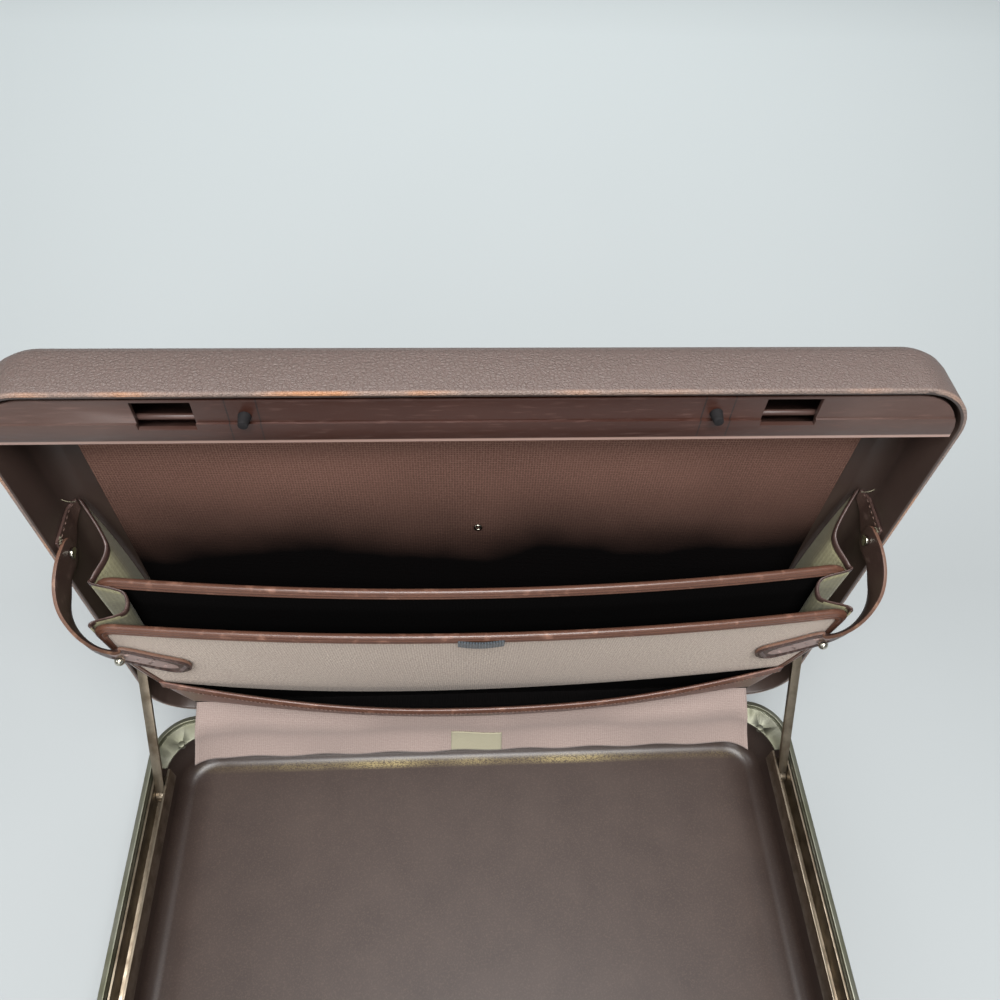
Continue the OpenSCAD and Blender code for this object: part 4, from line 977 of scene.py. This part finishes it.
def gusset(side, word):
    """The two cloths of one gusset, which meet at the divider, each with its bound upper edge."""
    behind = on_board(0, DIVIDER_L, PITCH + REACH, LEAN / 2)
    ahead = on_board(0, PANEL_L, PITCH - REACH, LEAN / 2)
    out = board_out(LEAN / 2)
    to_panel = out * (on_board(0, PANEL_L, REACH, LEAN) - ahead).dot(out) * 1.25
    # The front half of each gusset is the olive cloth with painted shade.
    halves = (("rear", 0, AT_DIVIDER, GUSSET_CLOTH, "divider", (behind - board_out(LEAN / 4) * 30, behind)),
              ("front", AT_DIVIDER, 1, GUSSET_PAINTED_SHADE, "front_panel", (ahead - to_panel, ahead + to_panel)))
    for half, p0, p1, material, body, bend in halves:
        def over(p, q):
            low = abs(2 * q - 1)
            spot = gusset_place(side, min(p0 + (p1 - p0) * p, 0.97), 1.004 - low * EDGE_H / GUSSET_CUT[1])
            return spot + Vector((side * (0.6 if q < 0.5 else -0.75) * min(low * 4, 1), 0, 0))

        cloth = cut_sheet(f"gusset_{half}_{word}", material, 40, 30, GUSSET_CUT,
                          lambda p, q: gusset_place(side, p0 + (p1 - p0) * p, q * 0.99))
        settle(thicken(cloth, GUSSET_T), body, f"gusset_{word}" if half == "rear" else None,
               bend)
        edge = cut_sheet(f"gusset_edge_{half}_{word}", STRAP_VINYL, 40, 16, (GUSSET_CUT[0], 2 * EDGE_H),
                         over)
        settle(thicken(edge, 0.5), body, None, bend)


for side, word in SIDES:
    gusset(side, word)
print("gussets fold", GUSSET_FOLD, "mm inward")

# %% [markdown]
# ## The side tabs
# A wedge of vinyl is glued to each side wall of the lid. It starts in a narrow end at the lining,
# where the gusset ends too, follows the rounded inner corner and widens towards the rim. Its hem is
# sewn, and at the worn front corner the pale backing shows in a few loose threads. A longer thread
# has come loose at the narrow end.

# %% Side tabs
TAB_T = 1.5
INNER_R = 11
CORNER_V = 24.2
TAB_ARC = INNER_R * radians(50)
TAB_DROP = 20.6


def tab_place(side, p, q, off=0.0):
    """A place on a tab: p from its rear edge to its front edge, q from the lining to the rim."""
    down = (TAB_ARC + TAB_DROP) * q
    reach = INNER_R - 0.2 - TAB_T / 2 - off
    turn = max(TAB_ARC - down, 0) / INNER_R
    rear, front = 196 - 22 * q ** 0.75, 202.5 - 2.5 * q
    return in_lid(side * (SIDE_X - WALL - INNER_R + reach * cos(turn)), rear + (front - rear) * p,
                  CORNER_V + reach * sin(turn) - max(down - TAB_ARC, 0))


def fibre(maker, line, radius):
    """A thin five-sided thread along a line."""
    rings = []
    for i, spot in enumerate(line):
        way = (line[min(i + 1, len(line) - 1)] - line[max(i - 1, 0)]).normalized()
        across = way.orthogonal().normalized()
        over = way.cross(across)
        rings.append([maker.verts.new(spot + (across * cos(a) + over * sin(a)) * radius)
                      for a in (tau * k / 5 for k in range(5))])
    for low, high in zip(rings, rings[1:]):
        for k in range(5):
            maker.faces.new((low[k], low[(k + 1) % 5], high[(k + 1) % 5], high[k]))


def side_tab(side, word):
    """One tab with its hem stitches and its frayed corner."""
    piece = cut_sheet(f"side_tab_{word}", STRAP_VINYL, 16, 40, (18, 31), lambda p, q: tab_place(side, p, q))
    settle(thicken(piece, TAB_T, 0.4), "lid", f"anchor_tab_{word}")
    wall = Vector((-side, 0, 0))
    row = [tab_place(side, 0.9, i / 30, TAB_T / 2) for i in range(2, 30)]
    settle(stitches(f"tab_stitches_{word}", [row], lambda spot: wall), "lid")
    maker = bmesh.new()
    for i in range(14):
        root = tab_place(side, random.uniform(0.86, 1.0), random.uniform(0.86, 1.0), TAB_T / 2)
        way = Vector((-side * random.uniform(0.1, 0.6), random.uniform(-0.6, 0.6), random.uniform(0, 1.2)))
        fibre(maker, [root, root + way * 1.4, root + way * 2.6 + Vector((0, -0.5, 0.2))], 0.14)
    root = tab_place(side, 0.9, 0.04, TAB_T / 2)
    ways = ((0, 0, 0), (side * 1.5, -3.5, 5), (side * 4.5, -3, 7.5), (side * 5, -0.5, 10))
    fibre(maker, smooth_line([root + Vector(way) for way in ways]), 0.2)
    settle(make(maker, f"tab_frayed_{word}", LABEL_CLOTH), "lid")


for side, word in SIDES:
    side_tab(side, word)
print("side tabs are", TAB_T, "mm thick")

# %% [markdown]
# ## The straps
# A strap holds each end of the front panel. It is riveted to the tab on the lid's side wall, bulges
# out past the panel's end, and comes back onto the panel, where its round end is pressed over a
# ball stud. It is modelled as a flat strip whose face turns from the wall to the panel.

# %% Strap route
STRAP_W, STRAP_T = 19, 1.8
STUD_S, STUD_X = PANEL_L - 35, PANEL_HALF - 4.5
STRAP_RISE = 0.66
STRAP_STEPS = 90
ANCHOR = Vector((SIDE_X - WALL - TAB_T - 0.5 - STRAP_T / 2, 188, 6))


def on_front(x, s):
    """Lid distances of a place on the front panel where the strap lies."""
    return Vector(leaning(x, s, bow(min(x, PANEL_HALF), s) - PANEL_T / 2 - 1.2 - STRAP_T / 2, LEAN))


def strap_points():
    """Chosen points of the strap's middle line, each with the turn of its face in degrees."""
    edge = on_front(PANEL_HALF + 0.9, STUD_S + 5.4 * STRAP_RISE)
    b, c = edge + Vector((9, 24, -9)), ANCHOR + Vector((1, 4, -30))
    flat = [(on_front(STUD_X + x, STUD_S + x * STRAP_RISE), 0) for x in (-34, -26, -18, -10, -2)]
    free = []
    for i in range(9):
        t = i / 8
        spot = edge * (1 - t) ** 3 + b * 3 * t * (1 - t) ** 2 + c * 3 * t * t * (1 - t) + ANCHOR * t ** 3
        free.append((spot, 90 * min(1.3 * t + 0.12, 1)))
    return flat + free + [(ANCHOR + Vector((0, 0, 6)), 90)]


def strap_line(count):
    """The strap's middle line in equal steps, with the direction its face looks at each."""
    chosen = [Vector((spot.x, spot.y, spot.z, turn / 10)) for spot, turn in strap_points()]
    line = equal_steps(smooth_line(chosen), count)
    places = []
    for i, step in enumerate(line):
        turn = radians(step.w * 10)
        lean = radians(LEAN) * cos(turn)
        way = (line[min(i + 1, count)].xyz - line[max(i - 1, 0)].xyz).normalized()
        face = Vector((sin(turn), -cos(turn) * sin(lean), -cos(turn) * cos(lean)))
        face = (face - way * face.dot(way)).normalized()
        places.append((step.xyz, face.cross(way).normalized(), face))
    return places


STRAP = strap_line(STRAP_STEPS)
STRAP_L = line_length([middle for middle, width, face in STRAP])
print("strap", round(STRAP_L), "mm long")


# %% Straps
def half_width(p):
    """Half the strap's width at a share of its length: a paddle, a long band and a cut end."""
    paddle = STRAP_W / 2 * (1 + 0.16 * max(1 - p / 0.45, 0))
    d, e = min(p * STRAP_L, paddle), min((1 - p) * STRAP_L, 6)
    return max(sqrt(max(paddle ** 2 - (paddle - d) ** 2, 0)), 0.8) - 3.5 * (1 - e / 6) ** 2


def strap_place(side, p, across, through):
    """A place on a strap: p along it from its round end, across its width and through it."""
    middle, width, face = STRAP[round(p * STRAP_STEPS)]
    return at_side(side, middle + width * across + face * through)


def nearest_face(side, spot):
    """The direction that the strap's face looks nearest to a spot."""
    middle, width, face = min(STRAP, key=lambda step: (at_side(side, step[0]) - spot).length)
    return (at_side(side, middle + face) - at_side(side, middle)).normalized()


def strap(side, word):
    """One strap: its band, the puffed border and smooth patch of its round end, and its stitches."""
    def border(p, q):
        """The puffed border: p round the strap's end, q across the border."""
        k = 30 * abs(2 * p - 1)
        inside = half_width(max(k, 1.2) / STRAP_STEPS) - 0.9 - 3.6 * q
        edge = 1 if p > 0.5 else -1
        return strap_place(side, max(k / STRAP_STEPS, 0.012 + 0.03 * q),
                           edge * inside * min(abs(2 * p - 1) * 12, 1),
                           STRAP_T / 2 + 0.1 + 0.55 * sin(pi * q))

    def smooth_patch(p, q):
        oval = sqrt(max(1 - (2 * p - 1) ** 4, 0.001))
        return strap_place(side, 0.06 + 0.3 * p, 5.2 * (2 * q - 1) * oval, STRAP_T / 2 + 0.12)

    band = cut_sheet(f"strap_band_{word}", STRAP_VINYL, STRAP_STEPS, 8, (STRAP_L, STRAP_W),
                     lambda p, q: strap_place(side, p, half_width(p) * (2 * q - 1), 0))
    band.data.materials.append(CUT_EDGE)
    thicken(band, STRAP_T, 0.3).modifiers["thickness"].material_offset_rim = 1
    rim = cut_sheet(f"strap_border_{word}", STRAP_VINYL, 80, 8, (70, 4), border)
    patch = cut_sheet(f"strap_patch_{word}", PATCH_VINYL, 32, 12, (28, 10), smooth_patch)
    rows = [[strap_place(side, i / STRAP_STEPS, edge * (half_width(i / STRAP_STEPS) - 1.8), STRAP_T / 2)
             for i in range(34, 88)] for edge in (-1, 1)]
    thread = stitches(f"strap_stitches_{word}", rows, lambda spot: nearest_face(side, spot))
    bend = (at_side(side, ANCHOR - Vector((0, 4, 0))),
            in_lid(side * PANEL_HALF, ORG_U + STUD_S + 5, -ORG_DROP - 16))
    for piece, node in ((band, f"strap_{word}"), (rim, None), (patch, None), (thread, None)):
        settle(piece, "front_panel", node, bend)


for side, word in SIDES:
    strap(side, word)
print("straps are", STRAP_W, "mm wide")

# %% [markdown]
# ## The lining
# A board covered with brown canvas fills the lid behind the organiser. It is a thin sheet with
# soft edges, set against the inside of the lid.

# %% Lining board
LINING_T = 1.5
LINING_U0, LINING_U1 = 14, 2 * BACK_Y - 31.2


def lining_place(p, q):
    return in_lid(LINING_HALF * (2 * p - 1), LINING_U0 + (LINING_U1 - LINING_U0) * q,
                  LINING_V + LINING_T / 2)


lining = cut_sheet("lining_canvas", LINING_CANVAS, 60, 40, (2 * LINING_HALF, LINING_U1 - LINING_U0),
                   lining_place)
settle(thicken(lining, LINING_T, 0.5), "lid", "lid_lining")
print("lining", round(2 * LINING_HALF), "by", round(LINING_U1 - LINING_U0), "mm")

# %% [markdown]
# ## The hinge cloth
# A strip of plain mauve cloth covers the hinge line. Its lower edge hangs free inside the base,
# and its upper edge is sewn to the organiser's hem. It is one sheet along a curve in the side view,
# with shallow waves.

# %% Hinge cloth
CLOTH_HALF, CLOTH_T = SIDE_X - 25.5, 0.8
CLOTH_STEPS = 40
LAND_W, CORNER_R = 13, 30


def cloth_line():
    """The cloth's curve in the side view, as places (0, y, z), from its lower edge up."""
    low = ((10, -22.5), (6.6, -14.1), (4.0, -6.6), (2.6, -1), (1.6, 6), (-0.6, 13))
    chosen = [Vector((0, BACK_Y - LAND_W - ahead, RIM_Z + up)) for ahead, up in low]
    end = in_lid(0, ORG_U, -ORG_DROP) - Vector((0, 0.5, 2.2 + CLOTH_T / 2 + 0.3))
    chosen += [chosen[-1].lerp(end, share) for share in (0.4, 0.75, 1)]
    return equal_steps(smooth_line(chosen), CLOTH_STEPS)


CLOTH_LINE = cloth_line()
CLOTH_L = line_length(CLOTH_LINE)


def hug(x):
    """How far the cloth keeps forward of the rail's rounded rear corners."""
    d = max(abs(x) - (SIDE_X - LAND_W - CORNER_R), 0)
    return CORNER_R - sqrt(max(CORNER_R ** 2 - d ** 2, 0))


def cloth_place(p, q, off=0.0):
    """A place on the cloth: p across, q up from its lower edge, and off in front of it."""
    i = round(q * CLOTH_STEPS)
    spot = CLOTH_LINE[i]
    way = (CLOTH_LINE[min(i + 1, CLOTH_STEPS)] - CLOTH_LINE[max(i - 1, 0)]).normalized()
    x = (CLOTH_HALF + (FOOT_HALF - CLOTH_HALF) * q) * (2 * p - 1)
    wave = (1.1 * sin(radians(x * 3.1 + 40)) * sin(pi * min(q * 1.2, 1))
            + 0.7 * sin(radians(x * 7.3)) * (1 - q))
    forward = min(hug(x), 13) * min(max((0.875 - q) / 0.375, 0), 1)
    return Vector((x, spot.y - forward - way.z * (wave + off), spot.z + way.y * (wave + off)))


cloth = thicken(cut_sheet("hinge_cloth_strip", HINGE_CLOTH, 150, CLOTH_STEPS, (2 * CLOTH_HALF, CLOTH_L),
                          cloth_place), CLOTH_T)
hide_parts("hinge_cloth")
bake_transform(cloth)
print("hinge cloth", round(2 * CLOTH_HALF), "by", round(CLOTH_L), "mm")

# %% [markdown]
# A small woven label is sewn to the cloth's lower edge. It is left blank.

# %% Blank label
LABEL_W, LABEL_H = 37, 20


def label_place(p, q):
    across = 0.5 + LABEL_W * (p - 0.5) / (2 * CLOTH_HALF)
    step = (1.2 + LABEL_H * q) / CLOTH_L * CLOTH_STEPS
    low = cloth_place(across, floor(step) / CLOTH_STEPS, 1.0)
    high = cloth_place(across, ceil(step) / CLOTH_STEPS, 1.0)
    return low.lerp(high, step - floor(step))


label = thicken(cut_sheet("blank_label", LABEL_CLOTH, 24, 14, (LABEL_W, LABEL_H), label_place), 0.5)
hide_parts("label_patch")
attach(label, "base")
print("label", LABEL_W, "by", LABEL_H, "mm")
